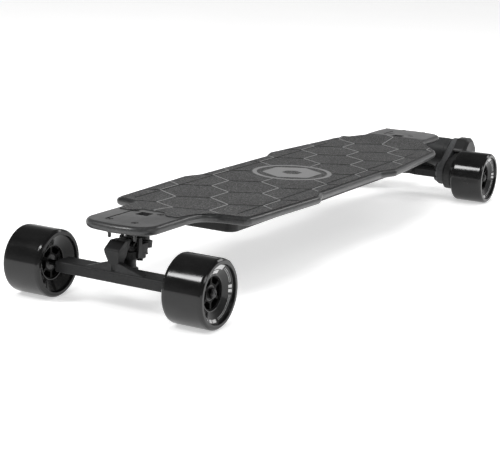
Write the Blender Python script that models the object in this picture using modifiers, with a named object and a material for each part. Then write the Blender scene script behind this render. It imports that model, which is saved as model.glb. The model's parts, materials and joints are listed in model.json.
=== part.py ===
"""Electric longboard with two motors, belt drives and double-kingpin trucks.

Metres, +X to the nose, +Y to the left, +Z up, ground at z = 0.
The origin is on the ground under the middle of the overall length.
"""
from math import atan2, cos, pi, radians, sin, tan

import bmesh
import bpy
from mathutils import Matrix, Vector

# ---- driving dimensions -------------------------------------------------
WHEEL_R = 0.0485
WHEEL_W = 0.0625
WHEEL_SIDES = 32
TRACK = 0.324                       # outer wheel face to outer wheel face
WHEELBASE = 1.028
AXLE_R = 0.004
GAP = 0.0003                        # clearance between pieces that touch

DECK_THICK = 0.0125
DECK_TOP = 0.1162                   # in the flat middle
NOSE_RISE = 0.0068
TAIL_RISE = 0.0088
RIM_ROUND = 0.0045
GRIP_THICK = 0.0009
POCKET = 0.0045                     # recess under the platforms for the baseplates

MOTOR_BACK = 0.0610                 # motor axis behind the rear axle
MOTOR_Z = 0.0780
MOTOR_R = 0.0300
COVER_R = 0.0340
BELT_THICK = 0.0024
BELT_WIDTH = 0.0120
BELT_PITCH = 0.0050
WHEEL_TEETH = 34
MOTOR_TEETH = 14

BOLT_OUT = -0.0075                  # outboard pair of truck bolts, from the axle
BOLT_IN = -0.0710
BOLT_Y = 0.0207
BASE_LIP = 0.0004                   # how far the baseplates stand out of their pockets
BOLT_HEAD_R, BOLT_HEAD = 0.0046, 0.0028
BOLT_SINK = 0.0002                  # the heads lie this far below the platforms
BOLT_SHANK_R = 0.0024
BOLT_NUT_R, BOLT_NUT = 0.0042, 0.0048
BOLT_END = 0.0125                   # tip of a bolt below its nut's seat

# ---- worked out from them -----------------------------------------------
FRONT_AXLE_X = (WHEELBASE + MOTOR_BACK + COVER_R - WHEEL_R) / 2
REAR_AXLE_X = FRONT_AXLE_X - WHEELBASE
MIDDLE_X = (FRONT_AXLE_X + REAR_AXLE_X) / 2
AXLE_Z = WHEEL_R
WHEEL_Y = TRACK / 2 - WHEEL_W / 2
WHEEL_INNER_Y = TRACK / 2 - WHEEL_W
NOSE_TOP = DECK_TOP + NOSE_RISE
TAIL_TOP = DECK_TOP + TAIL_RISE
BASE_BOTTOM = NOSE_TOP - DECK_THICK - BASE_LIP   # underside of both baseplates
WHEEL_PULLEY_R = WHEEL_TEETH * BELT_PITCH / (2 * pi)
MOTOR_PULLEY_R = MOTOR_TEETH * BELT_PITCH / (2 * pi)

# Truck-local places: u outboard from the axle, z up.
KINGPIN_1 = Vector((-0.0550, 0, 0.0830))       # middle of the link's base ring
KINGPIN_1_TILT = radians(8)
KINGPIN_2 = Vector((-0.0265, 0, 0.0731))       # middle of the link's hanger ring
BAR_OUT, BAR_IN = 0.0140, -0.0200
BAR_LOW, BAR_HIGH = 0.0400, 0.0560
FRONT_BAR_Y = 0.0965
REAR_BAR_Y = 0.0600
NECK_HALF = 0.0110
GUSSET_HALF, GUSSET_TOP = 0.0470, 0.0740
KINGPIN_HOLE_R = 0.0053

# Enclosure under the deck.
PAN_FRONT = MIDDLE_X + 0.308
PAN_REAR = MIDDLE_X - 0.312
PAN_HALF = 0.0620
PAN_BOTTOM = 0.0752
PAN_TOP = DECK_TOP - DECK_THICK - GAP
PAN_WALL = 0.0025
PAN_CORNER = 0.0150
CONTROL_PROUD = 0.0010              # the button and socket stand out of the side
SIDE_Z = 0.0905                     # height of the button and the socket
BUTTON_X = MIDDLE_X + 0.215
BUTTON_R = 0.0060
SOCKET_X = MIDDLE_X + 0.170
SOCKET_R = 0.0065


# ---- scene and materials ------------------------------------------------
def clear_scene():
    for obj in list(bpy.data.objects):
        bpy.data.objects.remove(obj, do_unlink=True)


def new_collection(name):
    collection = bpy.data.collections.new(name)
    bpy.context.scene.collection.children.link(collection)
    return collection


def material(name, color, roughness, metallic=0.0):
    mat = bpy.data.materials.new(name)
    mat.use_nodes = True
    shader = mat.node_tree.nodes["Principled BSDF"]
    shader.inputs["Base Color"].default_value = (*color, 1)
    shader.inputs["Roughness"].default_value = roughness
    shader.inputs["Metallic"].default_value = metallic
    return mat


FINISHES = {
    "deck": ((0.075, 0.076, 0.078), 0.45, 0.0),
    "grip": ((0.070, 0.071, 0.073), 0.95, 0.0),
    "urethane": ((0.012, 0.012, 0.013), 0.28, 0.0),
    "core": ((0.015, 0.015, 0.016), 0.40, 0.0),
    "forging": ((0.030, 0.031, 0.033), 0.42, 0.6),
    "steel": ((0.060, 0.062, 0.065), 0.35, 0.9),
    "bearing": ((0.350, 0.355, 0.360), 0.30, 0.9),
    "bushing": ((0.020, 0.020, 0.022), 0.50, 0.0),
    "pan": ((0.025, 0.026, 0.028), 0.50, 0.0),
    "cells": ((0.020, 0.060, 0.150), 0.50, 0.0),
    "board": ((0.010, 0.060, 0.030), 0.50, 0.0),
    "motor": ((0.035, 0.036, 0.038), 0.40, 0.5),
    "pulley": ((0.045, 0.046, 0.048), 0.40, 0.5),
    "belt": ((0.012, 0.012, 0.012), 0.70, 0.0),
    "cover": ((0.040, 0.041, 0.043), 0.50, 0.0),
    "socket": ((0.015, 0.015, 0.016), 0.50, 0.0),
    "button": ((0.250, 0.250, 0.260), 0.30, 0.5),
}


# ---- building blocks ----------------------------------------------------
def keep(obj, name, finish, attach_to=None):
    """Name a finished piece, give it its own material and file it."""
    obj.name = name
    obj.data.name = name
    obj.data.materials.clear()
    obj.data.materials.append(material(name, *FINISHES[finish]))
    PARTS.objects.link(obj)
    attach(obj, attach_to)
    return obj


def attach(obj, pivot):
    """Parent to a pivot empty; the mesh stays in the truck's own coordinates."""
    if pivot is None:
        return
    obj.parent = pivot
    obj.matrix_parent_inverse = Matrix.Translation(pivot.location).inverted()


def tool(obj, attach_to=None):
    """File a cutter, or a shape joined by a union, where the build skips it."""
    CUTTERS.objects.link(obj)
    obj.hide_render = True
    obj.display_type = "WIRE"
    attach(obj, attach_to)
    return obj


def boolean(obj, other, operation="DIFFERENCE"):
    step = obj.modifiers.new("boolean_" + operation.lower(), "BOOLEAN")
    step.operation = operation
    step.solver = "EXACT"
    step.object = other
    return obj


def bevel(obj, width, segments=1, angle=30):
    step = obj.modifiers.new("edges", "BEVEL")
    step.width = width
    step.segments = segments
    step.limit_method = "ANGLE"
    step.angle_limit = radians(angle)
    return obj


def smooth(obj, angle=35):
    obj.data.shade_smooth()
    obj.data.set_sharp_from_angle(angle=radians(angle))
    return obj


def mesh_object(bm, name="piece"):
    mesh = bpy.data.meshes.new(name)
    bm.to_mesh(mesh)
    bm.free()
    return bpy.data.objects.new(name, mesh)


def box(low, high):
    bm = bmesh.new()
    bmesh.ops.create_cube(bm, size=1)
    low, high = Vector(low), Vector(high)
    size = high - low
    bmesh.ops.scale(bm, vec=size, verts=bm.verts)
    bmesh.ops.translate(bm, vec=(low + high) / 2, verts=bm.verts)
    return mesh_object(bm)


def turned(profile, sides, matrix=None):
    """Turn (radius, height) points, listed from the top down, about the Z axis."""
    bm = bmesh.new()
    verts = [bm.verts.new((radius, 0, height)) for radius, height in profile]
    for first, second in zip(verts, verts[1:]):
        bm.edges.new((first, second))
    if profile[0][0] > 0 and profile[0] == profile[-1]:
        bmesh.ops.remove_doubles(bm, verts=bm.verts, dist=1e-6)
    obj = mesh_object(bm)
    screw = obj.modifiers.new("turn", "SCREW")
    screw.axis = "Z"
    screw.steps = sides
    screw.render_steps = sides
    screw.use_merge_vertices = True
    screw.merge_threshold = 0.00001
    obj.matrix_basis = matrix or Matrix.Identity(4)
    return obj


def rod(radius, length, sides, matrix=None):
    """A plain cylinder centred on its matrix, along its Z axis."""
    half = length / 2
    return turned([(0, half), (radius, half), (radius, -half), (0, -half)], sides, matrix)


def rounded(corners, steps=5):
    """Round each (x, y, radius) corner of a closed outline with an arc."""
    points = []
    count = len(corners)
    for i, (x, y, radius) in enumerate(corners):
        here = Vector((x, y))
        if radius <= 0:
            points.append(here)
            continue
        back = (Vector(corners[i - 1][:2]) - here).normalized()
        ahead = (Vector(corners[(i + 1) % count][:2]) - here).normalized()
        half = back.angle(ahead) / 2
        centre = here + (back + ahead).normalized() * radius / sin(half)
        start = here + back * radius / tan(half) - centre
        end = here + ahead * radius / tan(half) - centre
        turn = atan2(start.x * end.y - start.y * end.x, start.dot(end))
        for k in range(steps + 1):
            angle = turn * k / steps
            spoke = Vector((start.x * cos(angle) - start.y * sin(angle),
                            start.x * sin(angle) + start.y * cos(angle)))
            points.append(centre + spoke)
    return points


def circle(radius, sides, x=0.0, y=0.0):
    return [Vector((x + radius * cos(2 * pi * k / sides), y + radius * sin(2 * pi * k / sides)))
            for k in range(sides)]


def plate(outlines, low, high, matrix=None):
    """Extrude flat outlines (the later ones are holes) from low to high along Z."""
    curve = bpy.data.curves.new("outline", "CURVE")
    curve.dimensions = "2D"
    curve.fill_mode = "BOTH"
    curve.extrude = (high - low) / 2
    for outline in outlines:
        spline = curve.splines.new("POLY")
        spline.points.add(len(outline) - 1)
        for point, place in zip(spline.points, outline):
            point.co = (place.x, place.y, 0, 1)
        spline.use_cyclic_u = True
    flat = bpy.data.objects.new("outline", curve)
    bpy.context.scene.collection.objects.link(flat)
    bpy.context.view_layer.update()
    solid = bpy.data.meshes.new_from_object(flat.evaluated_get(bpy.context.evaluated_depsgraph_get()))
    bpy.data.objects.remove(flat, do_unlink=True)
    bm = bmesh.new()
    bm.from_mesh(solid)
    bmesh.ops.remove_doubles(bm, verts=bm.verts, dist=1e-6)
    bmesh.ops.dissolve_limit(bm, angle_limit=radians(0.5), verts=bm.verts, edges=bm.edges)
    bmesh.ops.recalc_face_normals(bm, faces=bm.faces)
    bmesh.ops.translate(bm, vec=(0, 0, (low + high) / 2), verts=bm.verts)
    bm.to_mesh(solid)
    bm.free()
    obj = bpy.data.objects.new("plate", solid)
    obj.matrix_basis = matrix or Matrix.Identity(4)
    return obj


def along_y(x, y, z):
    """A matrix that lays a Z-axis shape along +Y at the given place."""
    return Matrix.Translation((x, y, z)) @ Matrix.Rotation(-pi / 2, 4, "X")


# ---- deck ---------------------------------------------------------------
# Corners of the left half, nose to tail: x from the middle, half-width, radius.
DECK_CORNERS = [
    (0.5350, 0.0000, 0.0000), (0.5290, 0.0575, 0.0320), (0.3760, 0.0580, 0.0340),
    (0.3600, 0.1150, 0.0130), (0.1540, 0.1255, 0.0140), (0.1250, 0.1135, 0.0200),
    (-0.1000, 0.1135, 0.0200), (-0.1350, 0.1265, 0.0140), (-0.3600, 0.1090, 0.0300),
    (-0.4060, 0.0625, 0.0300), (-0.5050, 0.0635, 0.0300), (-0.5150, 0.0000, 0.0000),
]
# The grip stops short of the rim and leaves both platforms bare.
GRIP_CORNERS = [
    (0.4080, 0.0440, 0.0080), (0.3640, 0.0650, 0.0250), (0.3520, 0.1070, 0.0080),
    (0.1540, 0.1175, 0.0140), (0.1250, 0.1055, 0.0200), (-0.1000, 0.1055, 0.0200),
    (-0.1350, 0.1185, 0.0140), (-0.3560, 0.1020, 0.0250), (-0.4030, 0.0560, 0.0150),
    (-0.4180, 0.0440, 0.0080),
]
WINDOWS = [(0.4525, 0.0095, 0.0100), (-0.4280, 0.0110, 0.0100)]
RISE_CUTS = [0.340, 0.362, 0.384, 0.406, 0.428]


def mirrored(corners):
    """Close a left half-outline with its mirror image."""
    half = [(MIDDLE_X + x, y, r) for x, y, r in corners]
    other = [(x, -y, r) for x, y, r in reversed(half) if y > 0]
    return half + other


def rise(x):
    """How far the deck's surface stands above its flat middle at world x."""
    along = x - MIDDLE_X
    first, last = RISE_CUTS[0], RISE_CUTS[-1]
    share = min(max((abs(along) - first) / (last - first), 0), 1)
    share = share * share * (3 - 2 * share)
    return share * (NOSE_RISE if along > 0 else TAIL_RISE)


def follow_rise(obj):
    """Cut the plate into strips across X, then lift each to the deck's profile."""
    bm = bmesh.new()
    bm.from_mesh(obj.data)
    for cut in RISE_CUTS:
        for side in (1, -1):
            bmesh.ops.bisect_plane(bm, geom=bm.verts[:] + bm.edges[:] + bm.faces[:], dist=1e-7,
                                   plane_co=(MIDDLE_X + side * cut, 0, 0), plane_no=(1, 0, 0))
    for vert in bm.verts:
        vert.co.z += rise_between_cuts(vert.co.x)
    bm.to_mesh(obj.data)
    bm.free()
    return obj


def rise_between_cuts(x):
    """The profile as straight runs between the cuts, so each strip is flat."""
    along = x - MIDDLE_X
    side = 1 if along > 0 else -1
    reach = abs(along)
    for low, high in zip(RISE_CUTS, RISE_CUTS[1:]):
        if reach <= high:
            share = max((reach - low) / (high - low), 0)
            start, end = rise(MIDDLE_X + side * low), rise(MIDDLE_X + side * high)
            return start + (end - start) * share
    return rise(x)


def window(x, half_x, half_y):
    corners = [(MIDDLE_X + x + a * half_x, b * half_y, 0.0015)
               for a, b in ((-1, -1), (1, -1), (1, 1), (-1, 1))]
    return rounded(corners, 2)


def truck_bolt_places():
    """World x and y of every truck bolt, with the deck's top height there."""
    for side, axle_x, top in ((1, FRONT_AXLE_X, NOSE_TOP), (-1, REAR_AXLE_X, TAIL_TOP)):
        for out in (BOLT_OUT, BOLT_IN):
            for y in (-BOLT_Y, BOLT_Y):
                yield axle_x + side * out, y, top


def make_deck():
    outline = rounded(mirrored(DECK_CORNERS), 4)
    holes = [window(*entry) for entry in WINDOWS]
    deck = plate([outline] + holes, DECK_TOP - DECK_THICK, DECK_TOP)
    round_rim(deck)
    follow_rise(deck)
    pockets = [(FRONT_AXLE_X, 1, NOSE_TOP), (REAR_AXLE_X, -1, TAIL_TOP)]
    for axle_x, side, top in pockets:
        ends = sorted((axle_x + side * (BOLT_IN - 0.0083), axle_x + side * (BOLT_OUT + 0.0063)))
        floor = top - DECK_THICK + POCKET
        boolean(deck, tool(box((ends[0], -0.0283, top - 0.03), (ends[1], 0.0283, floor))))
    sink_r, sink = BOLT_HEAD_R + 0.0005, BOLT_SINK + BOLT_HEAD + GAP
    hole_r = BOLT_SHANK_R + GAP
    for x, y, top in truck_bolt_places():
        profile = [(0, 0.001), (sink_r, 0.001), (sink_r, -sink), (hole_r, -sink), (hole_r, -0.03),
                   (0, -0.03)]
        boolean(deck, tool(turned(profile, 12, Matrix.Translation((x, y, top)))))
    keep(smooth(deck), "deck", "deck")
    deck.modifiers.new("shading", "WEIGHTED_NORMAL").keep_sharp = True


def round_rim(deck):
    """Round the rim's upper and lower edges, leaving the windows square."""
    bm = bmesh.new()
    bm.from_mesh(deck.data)
    rim = []
    for edge in bm.edges:
        flat = [abs(face.normal.z) > 0.5 for face in edge.link_faces]
        in_window = all(abs(vert.co.y) < 0.012 and abs(vert.co.x - MIDDLE_X) < 0.47
                        for vert in edge.verts)
        if len(flat) == 2 and flat[0] != flat[1] and not in_window:
            rim.append(edge)
    bmesh.ops.bevel(bm, geom=rim, offset=RIM_ROUND, segments=2, profile=0.5, affect="EDGES",
                    clamp_overlap=False)
    bm.to_mesh(deck.data)
    bm.free()


def make_grip():
    outline = rounded(mirrored(GRIP_CORNERS), 4)
    low = DECK_TOP + GAP
    grip = follow_rise(plate([outline], low, low + GRIP_THICK))
    return keep(grip, "grip_sheet", "grip")


def make_truck_bolts():
    """Eight bolts, each with its nut, flush with the top of the platforms."""
    nut_top = BASE_BOTTOM - GAP
    names = [end + "_bolt_" + str(k) for end in ("nose", "tail") for k in range(1, 5)]
    for name, (x, y, top) in zip(names, truck_bolt_places()):
        head = top - BOLT_SINK
        neck = head - BOLT_HEAD
        nut_low, tip = nut_top - BOLT_NUT, nut_top - BOLT_END
        profile = [(0, head), (BOLT_HEAD_R, head), (BOLT_HEAD_R, neck), (BOLT_SHANK_R, neck),
                   (BOLT_SHANK_R, nut_top), (BOLT_NUT_R, nut_top), (BOLT_NUT_R, nut_low),
                   (BOLT_SHANK_R, nut_low), (BOLT_SHANK_R, tip), (0, tip)]
        keep(smooth(turned(profile, 8, Matrix.Translation((x, y, 0)))), name, "steel")


# ---- electrics under the deck -------------------------------------------
def pan_ring(inset, z):
    low_x, high_x = PAN_REAR + inset, PAN_FRONT - inset
    half = PAN_HALF - inset
    corners = [(x, y, PAN_CORNER) for x, y in ((low_x, -half), (high_x, -half), (high_x, half),
                                               (low_x, half))]
    return [Vector((p.x, p.y, z)) for p in rounded(corners, 4)]


def loft(rings):
    """Skin rings of equal length, closing the first one: an open shell."""
    bm = bmesh.new()
    rows = [[bm.verts.new(point) for point in ring] for ring in rings]
    bm.faces.new(rows[0])
    count = len(rows[0])
    for low, high in zip(rows, rows[1:]):
        for k in range(count):
            bm.faces.new((low[k], low[(k + 1) % count], high[(k + 1) % count], high[k]))
    bmesh.ops.recalc_face_normals(bm, faces=bm.faces)
    return mesh_object(bm)


def make_enclosure():
    pan = loft([pan_ring(0.0068, PAN_BOTTOM), pan_ring(0.0048, PAN_BOTTOM + 0.0012),
                pan_ring(0.0040, PAN_BOTTOM + 0.0035), pan_ring(0.0, PAN_TOP - 0.0070),
                pan_ring(0.0, PAN_TOP)])
    wall = pan.modifiers.new("wall", "SOLIDIFY")
    wall.thickness = PAN_WALL
    wall.offset = -1
    wall.use_even_offset = True
    for x, radius in ((BUTTON_X, BUTTON_R), (SOCKET_X, SOCKET_R)):
        boolean(pan, tool(rod(radius + GAP, 0.02, 16, along_y(x, -PAN_HALF, SIDE_Z))))
    return keep(smooth(pan), "battery_enclosure", "pan")


def make_electrics():
    low, high = PAN_BOTTOM + PAN_WALL + 0.001, PAN_TOP - 0.0020
    pack = box((MIDDLE_X - 0.265, -0.043, low), (MIDDLE_X + 0.105, 0.043, high))
    keep(bevel(pack, 0.003), "battery_pack", "cells")
    controller = box((MIDDLE_X + 0.120, -0.034, low), (MIDDLE_X + 0.255, 0.043, high - 0.003))
    keep(bevel(controller, 0.002), "speed_controller", "board")
    face = -PAN_HALF - CONTROL_PROUD
    button = [(0, 0.0135), (0.0075, 0.0135), (0.0075, 0.0115), (BUTTON_R, 0.0115),
              (BUTTON_R, 0.0006), (BUTTON_R - 0.0008, 0), (0, 0)]
    keep(smooth(turned(button, 16, along_y(BUTTON_X, face, SIDE_Z))), "power_button", "button")
    port = [(0.0030, 0.0160), (SOCKET_R, 0.0160), (SOCKET_R, 0), (0.0050, 0), (0.0050, 0.0100),
            (0.0030, 0.0100), (0.0030, 0.0160)]
    keep(smooth(turned(port, 16, along_y(SOCKET_X, face, SIDE_Z))), "charge_port", "socket")


# ---- trucks -------------------------------------------------------------
class Truck:
    """A frame at one axle, with u pointing outboard, and its pivots."""

    def __init__(self, name, axle_x, turn, deck_bottom, bar_y):
        self.name = name
        self.deck_bottom = deck_bottom
        self.bar_y = bar_y
        self.frame = self.empty("frame", (0, 0, 0), None)
        self.frame.location = (axle_x, 0, 0)
        self.frame.rotation_euler = (0, 0, turn)
        self.base = self.empty("base", (0, 0, 0), self.frame)
        self.link = self.empty("link_pivot", KINGPIN_1, self.frame)
        self.hanger = self.empty("hanger_pivot", KINGPIN_2, self.frame)
        bpy.context.view_layer.update()

    def empty(self, name, place, parent):
        obj = bpy.data.objects.new(self.name + "_" + name, None)
        obj.location = place
        obj.parent = parent
        PARTS.objects.link(obj)
        return obj

    def keep(self, obj, name, finish, pivot):
        return keep(obj, self.name + "_" + name, finish, pivot)


def side_plate(outline, low_y, high_y, steps=4):
    """Extrude a rounded (u, z) outline across Y."""
    swap = Matrix(((1, 0, 0, 0), (0, 0, -1, 0), (0, 1, 0, 0), (0, 0, 0, 1)))
    return plate([rounded(outline, steps)], -high_y, -low_y, swap)


def kingpin_1_frame(shift):
    """On the base kingpin's axis, shift above the link's ring."""
    tilt = Matrix.Rotation(-KINGPIN_1_TILT, 4, "Y")
    return Matrix.Translation(KINGPIN_1) @ tilt @ Matrix.Translation((0, 0, shift))


def make_baseplate(truck):
    top = truck.deck_bottom + POCKET - GAP
    corners = [(BOLT_IN - 0.0080, -0.0280, 0.006), (BOLT_OUT + 0.0060, -0.0280, 0.006),
               (BOLT_OUT + 0.0060, 0.0280, 0.006), (BOLT_IN - 0.0080, 0.0280, 0.006)]
    hole_r = BOLT_SHANK_R + GAP
    holes = [circle(hole_r, 8, u, y) for u in (BOLT_OUT, BOLT_IN) for y in (-BOLT_Y, BOLT_Y)]
    base = plate([rounded(corners, 2)] + holes, BASE_BOTTOM, top)
    boss = [(0, 0.0230), (0.0140, 0.0230), (0.0125, 0.0058), (0, 0.0058)]
    seat = tool(turned(boss, 20, kingpin_1_frame(0.0095)), truck.base)
    trim = tool(box((-0.1, -0.05, BASE_BOTTOM + 0.002), (0.05, 0.05, 0.2)), truck.base)
    boolean(seat, trim)
    boolean(base, seat, "UNION")
    bore = rod(KINGPIN_HOLE_R, 0.06, 16, kingpin_1_frame(0.0100))
    boolean(base, tool(bore, truck.base))
    head = rod(0.0100, 0.020, 16, kingpin_1_frame(0.0270 + 0.0100))
    boolean(base, tool(head, truck.base))
    truck.keep(smooth(base), "baseplate", "forging", truck.base)


def make_kingpins(truck):
    one = [(0, 0.0295), (0.0096, 0.0295), (0.0096, 0.0273), (0.0050, 0.0273), (0.0050, -0.0130),
           (0.0108, -0.0130), (0.0108, -0.0148), (0.0088, -0.0148), (0.0088, -0.0205),
           (0.0050, -0.0205), (0.0050, -0.0245), (0, -0.0245)]
    truck.keep(smooth(turned(one, 12, kingpin_1_frame(0))), "base_kingpin", "steel", truck.base)
    two = [(0, 0.0255), (0.0080, 0.0255), (0.0080, 0.0214), (0.0050, 0.0214), (0.0050, -0.0197),
           (0.0125, -0.0197), (0.0125, -0.0230), (0.0088, -0.0230), (0.0088, -0.0275),
           (0.0050, -0.0275), (0.0050, -0.0300), (0, -0.0300)]
    place = Matrix.Translation(KINGPIN_2)
    truck.keep(smooth(turned(two, 12, place)), "hanger_kingpin", "steel", truck.hanger)


def bushing(low, high, radius, frame):
    """A soft cushion with a slight waist round a kingpin."""
    waist = radius - 0.0008
    profile = [(KINGPIN_HOLE_R, high), (radius, high), (waist, (low + high) / 2), (radius, low),
               (KINGPIN_HOLE_R, low), (KINGPIN_HOLE_R, high)]
    return smooth(turned(profile, 12, frame))


def make_bushings(truck):
    one = kingpin_1_frame(0)
    two = Matrix.Translation(KINGPIN_2)
    truck.keep(bushing(0.0051, 0.0150, 0.0115, one), "base_bushing_upper", "bushing", truck.base)
    truck.keep(bushing(-0.0127, -0.0051, 0.0105, one), "base_bushing_lower", "bushing", truck.base)
    truck.keep(bushing(0.0053, 0.0128, 0.0105, two), "hanger_bushing_upper", "bushing",
               truck.hanger)
    truck.keep(bushing(-0.0194, -0.0053, 0.0100, two), "hanger_bushing_lower", "bushing",
               truck.hanger)


def make_link(truck):
    """Two rings side by side, tied by a pair of upright cheeks."""
    half = 0.0048
    link = turned([(0, half), (0.0155, half), (0.0155, -half), (0, -half)], 20, kingpin_1_frame(0))
    two = Matrix.Translation(KINGPIN_2)
    ring = tool(turned([(0, 0.0050), (0.0140, 0.0050), (0.0140, -0.0050), (0, -0.0050)], 20, two),
                truck.link)
    boolean(link, ring, "UNION")
    for side in (-1, 1):
        inner, outer = sorted((side * 0.0128, side * 0.0165))
        cheek = side_plate([(-0.0340, 0.0690, 0.001), (-0.0235, 0.0690, 0.001),
                            (-0.0255, 0.0975, 0.001), (-0.0320, 0.0975, 0.001)], inner, outer, 1)
        boolean(link, tool(cheek, truck.link), "UNION")
        web = side_plate([(-0.0500, 0.0800, 0), (-0.0400, 0.0705, 0), (-0.0290, 0.0705, 0),
                          (-0.0290, 0.0870, 0), (-0.0500, 0.0865, 0)],
                         *sorted((side * 0.0118, side * 0.0150)), 1)
        boolean(link, tool(web, truck.link), "UNION")
    boolean(link, tool(rod(0.0072, 0.012, 16, kingpin_1_frame(0)), truck.link))
    boolean(link, tool(rod(0.0072, 0.014, 16, two), truck.link))
    truck.keep(smooth(link), "link", "forging", truck.link)


def make_hanger(truck):
    """Bar, neck, arch over the kingpin and two sloping gussets."""
    bar = side_plate([(BAR_IN, BAR_LOW, 0.002), (BAR_OUT, BAR_LOW, 0.002),
                      (BAR_OUT, BAR_HIGH, 0.004), (BAR_IN, BAR_HIGH, 0.003)],
                     -truck.bar_y, truck.bar_y, 2)
    neck = side_plate([(0.0010, 0.0480, 0), (BAR_OUT + 0.0010, 0.0480, 0), (0.0180, 0.0870, 0.003),
                       (0.0030, 0.0975, 0.004), (-0.0340, 0.0965, 0.004),
                       (-0.0372, 0.0865, 0.001), (-0.0080, 0.0865, 0.010), (0.0000, 0.0700, 0.004)],
                      -NECK_HALF, NECK_HALF, 4)
    boolean(bar, tool(neck, truck.hanger), "UNION")
    flank = [(-0.045, 0.030), (-0.0100, 0.030), (-0.0100, 0.0110), (-0.0170, 0.0085),
             (-0.045, 0.0085)]
    for side in (-1, 1):
        relief = plate([[Vector((u, side * y)) for u, y in flank]], 0.080, 0.100)
        boolean(bar, tool(relief, truck.hanger))
        boolean(bar, tool(gusset_shape(side), truck.hanger), "UNION")
    pin = Matrix.Translation(KINGPIN_2)
    boolean(bar, tool(rod(KINGPIN_HOLE_R, 0.060, 16, pin), truck.hanger))
    head = turned([(0, 0.0300), (0.0083, 0.0300), (0.0083, 0.0211), (0, 0.0211)], 16, pin)
    boolean(bar, tool(head, truck.hanger))
    scallop = turned([(0, -0.0170), (0.0135, -0.0170), (0.0135, -0.0400), (0, -0.0400)], 20, pin)
    boolean(bar, tool(scallop, truck.hanger))
    axle_hole = rod(AXLE_R + 0.0003, 0.3, 12, along_y(0, 0, AXLE_Z))
    boolean(bar, tool(axle_hole, truck.hanger))
    truck.keep(smooth(bar), "hanger", "forging", truck.hanger)


def gusset_shape(side):
    """A sloping web from the neck out to the bar."""
    bm = bmesh.new()
    low = BAR_HIGH - 0.0040
    ends = [(0.0030, GUSSET_TOP), (GUSSET_HALF, BAR_HIGH + 0.0004)]
    corners = [bm.verts.new((u, side * y, z)) for y, high in ends
               for u in (0.0020, BAR_OUT - 0.0010) for z in (low, high)]
    bmesh.ops.convex_hull(bm, input=corners)
    bmesh.ops.recalc_face_normals(bm, faces=bm.faces)
    return mesh_object(bm)


def make_axle(truck):
    """One axle with its two nuts."""
    seat = WHEEL_Y + CORE_HALF - BEARING_SINK + GAP
    nut, end = seat + AXLE_NUT, seat + AXLE_END
    half = [(0, end), (AXLE_R, end), (AXLE_R, nut), (AXLE_NUT_R, nut), (AXLE_NUT_R, seat),
            (AXLE_R - 0.00005, seat)]
    profile = half + [(r, -y) for r, y in reversed(half)]
    truck.keep(smooth(turned(profile, 12, along_y(0, 0, AXLE_Z))), "axle", "steel", truck.hanger)


# ---- wheels -------------------------------------------------------------
CORE_R = 0.0232
BEARING_R = 0.0110
BEARING_W = 0.0070
CORE_HALF = 0.0170
BEARING_SINK = 0.0005               # the bearings lie this far inside the core's faces
AXLE_NUT_R, AXLE_NUT, AXLE_END = 0.0068, 0.0055, 0.0072


def make_wheel(truck, side, label):
    hub = truck.empty(label + "_hub", (0, side * WHEEL_Y, AXLE_Z), truck.frame)
    bpy.context.view_layer.update()
    facet = Matrix.Rotation(pi / WHEEL_SIDES, 4, "Z")
    # Each half of the wheel's section runs from its outer face; outward is +Z here.
    outward = along_y(0, side * WHEEL_Y, AXLE_Z)
    if side < 0:
        outward = outward @ Matrix.Rotation(pi, 4, "X")
    rim = WHEEL_R / cos(pi / WHEEL_SIDES)
    half = WHEEL_W / 2
    inner = CORE_R + GAP
    # Both faces are the same: a dish, a flat lip, and a chamfer up to the tread.
    face = [(inner, 0.0190), (0.0270, 0.0215), (0.0385, 0.0262), (0.0410, half), (0.0445, half),
            (0.0475, half - 0.0022), (rim, half - 0.0060)]
    tyre = face + [(r, -h) for r, h in reversed(face)] + face[:1]
    keep(smooth(turned(tyre, WHEEL_SIDES, outward @ facet)), label + "_tyre", "urethane", hub)
    core = [(BEARING_R + 0.0001, CORE_HALF), (CORE_R, CORE_HALF), (CORE_R, -CORE_HALF),
            (BEARING_R + 0.0001, -CORE_HALF), (BEARING_R + 0.0001, CORE_HALF)]
    body = turned(core, 24, outward)
    pocket_outline = [(0.0138, -0.0050, 0.001), (0.0195, -0.0075, 0.001), (0.0205, 0, 0),
                      (0.0195, 0.0075, 0.001), (0.0138, 0.0050, 0.001)]
    for k in range(6):
        spin = Matrix.Rotation(k * pi / 3, 4, "Z")
        pocket = plate([rounded(pocket_outline, 1)], -0.0300, 0.0300, outward @ spin)
        boolean(body, tool(pocket, hub))
    keep(smooth(body), label + "_core", "core", hub)
    bearing = BEARING_R - 0.0002
    face = CORE_HALF - BEARING_SINK
    spacer = face - BEARING_W
    bore = AXLE_R + 0.0003
    section = [(bore, face), (bearing, face), (bearing, spacer), (0.0060, spacer),
               (0.0060, -spacer), (bearing, -spacer), (bearing, -face), (bore, -face),
               (bore, face)]
    keep(smooth(turned(section, 16, outward)), label + "_bearings", "bearing", hub)
    return hub


# ---- belt drive ---------------------------------------------------------
MOUNT_IN, MOUNT_OUT = 0.0610, 0.0730
MOTOR_IN = 0.0050
PULLEY_IN, PULLEY_OUT = 0.0765, 0.0920
BELT_Y = (PULLEY_IN + PULLEY_OUT) / 2 - 0.0002
COVER_IN, COVER_OUT = 0.0735, 0.0978
COVER_WALL = 0.0025
MOUTH_HALF = 0.0240                 # half-width of the cover's mouth, where the belt leaves
WHEEL_CLEAR_R = 0.0360              # the cover is cut away this far round the wheel's axle
MOTOR_PILOT_R = 0.0135
FLANGE_OUT = 0.0022                 # pulley flanges beyond the pitch circle
TOOTH_ROOT = 0.0006


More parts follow.
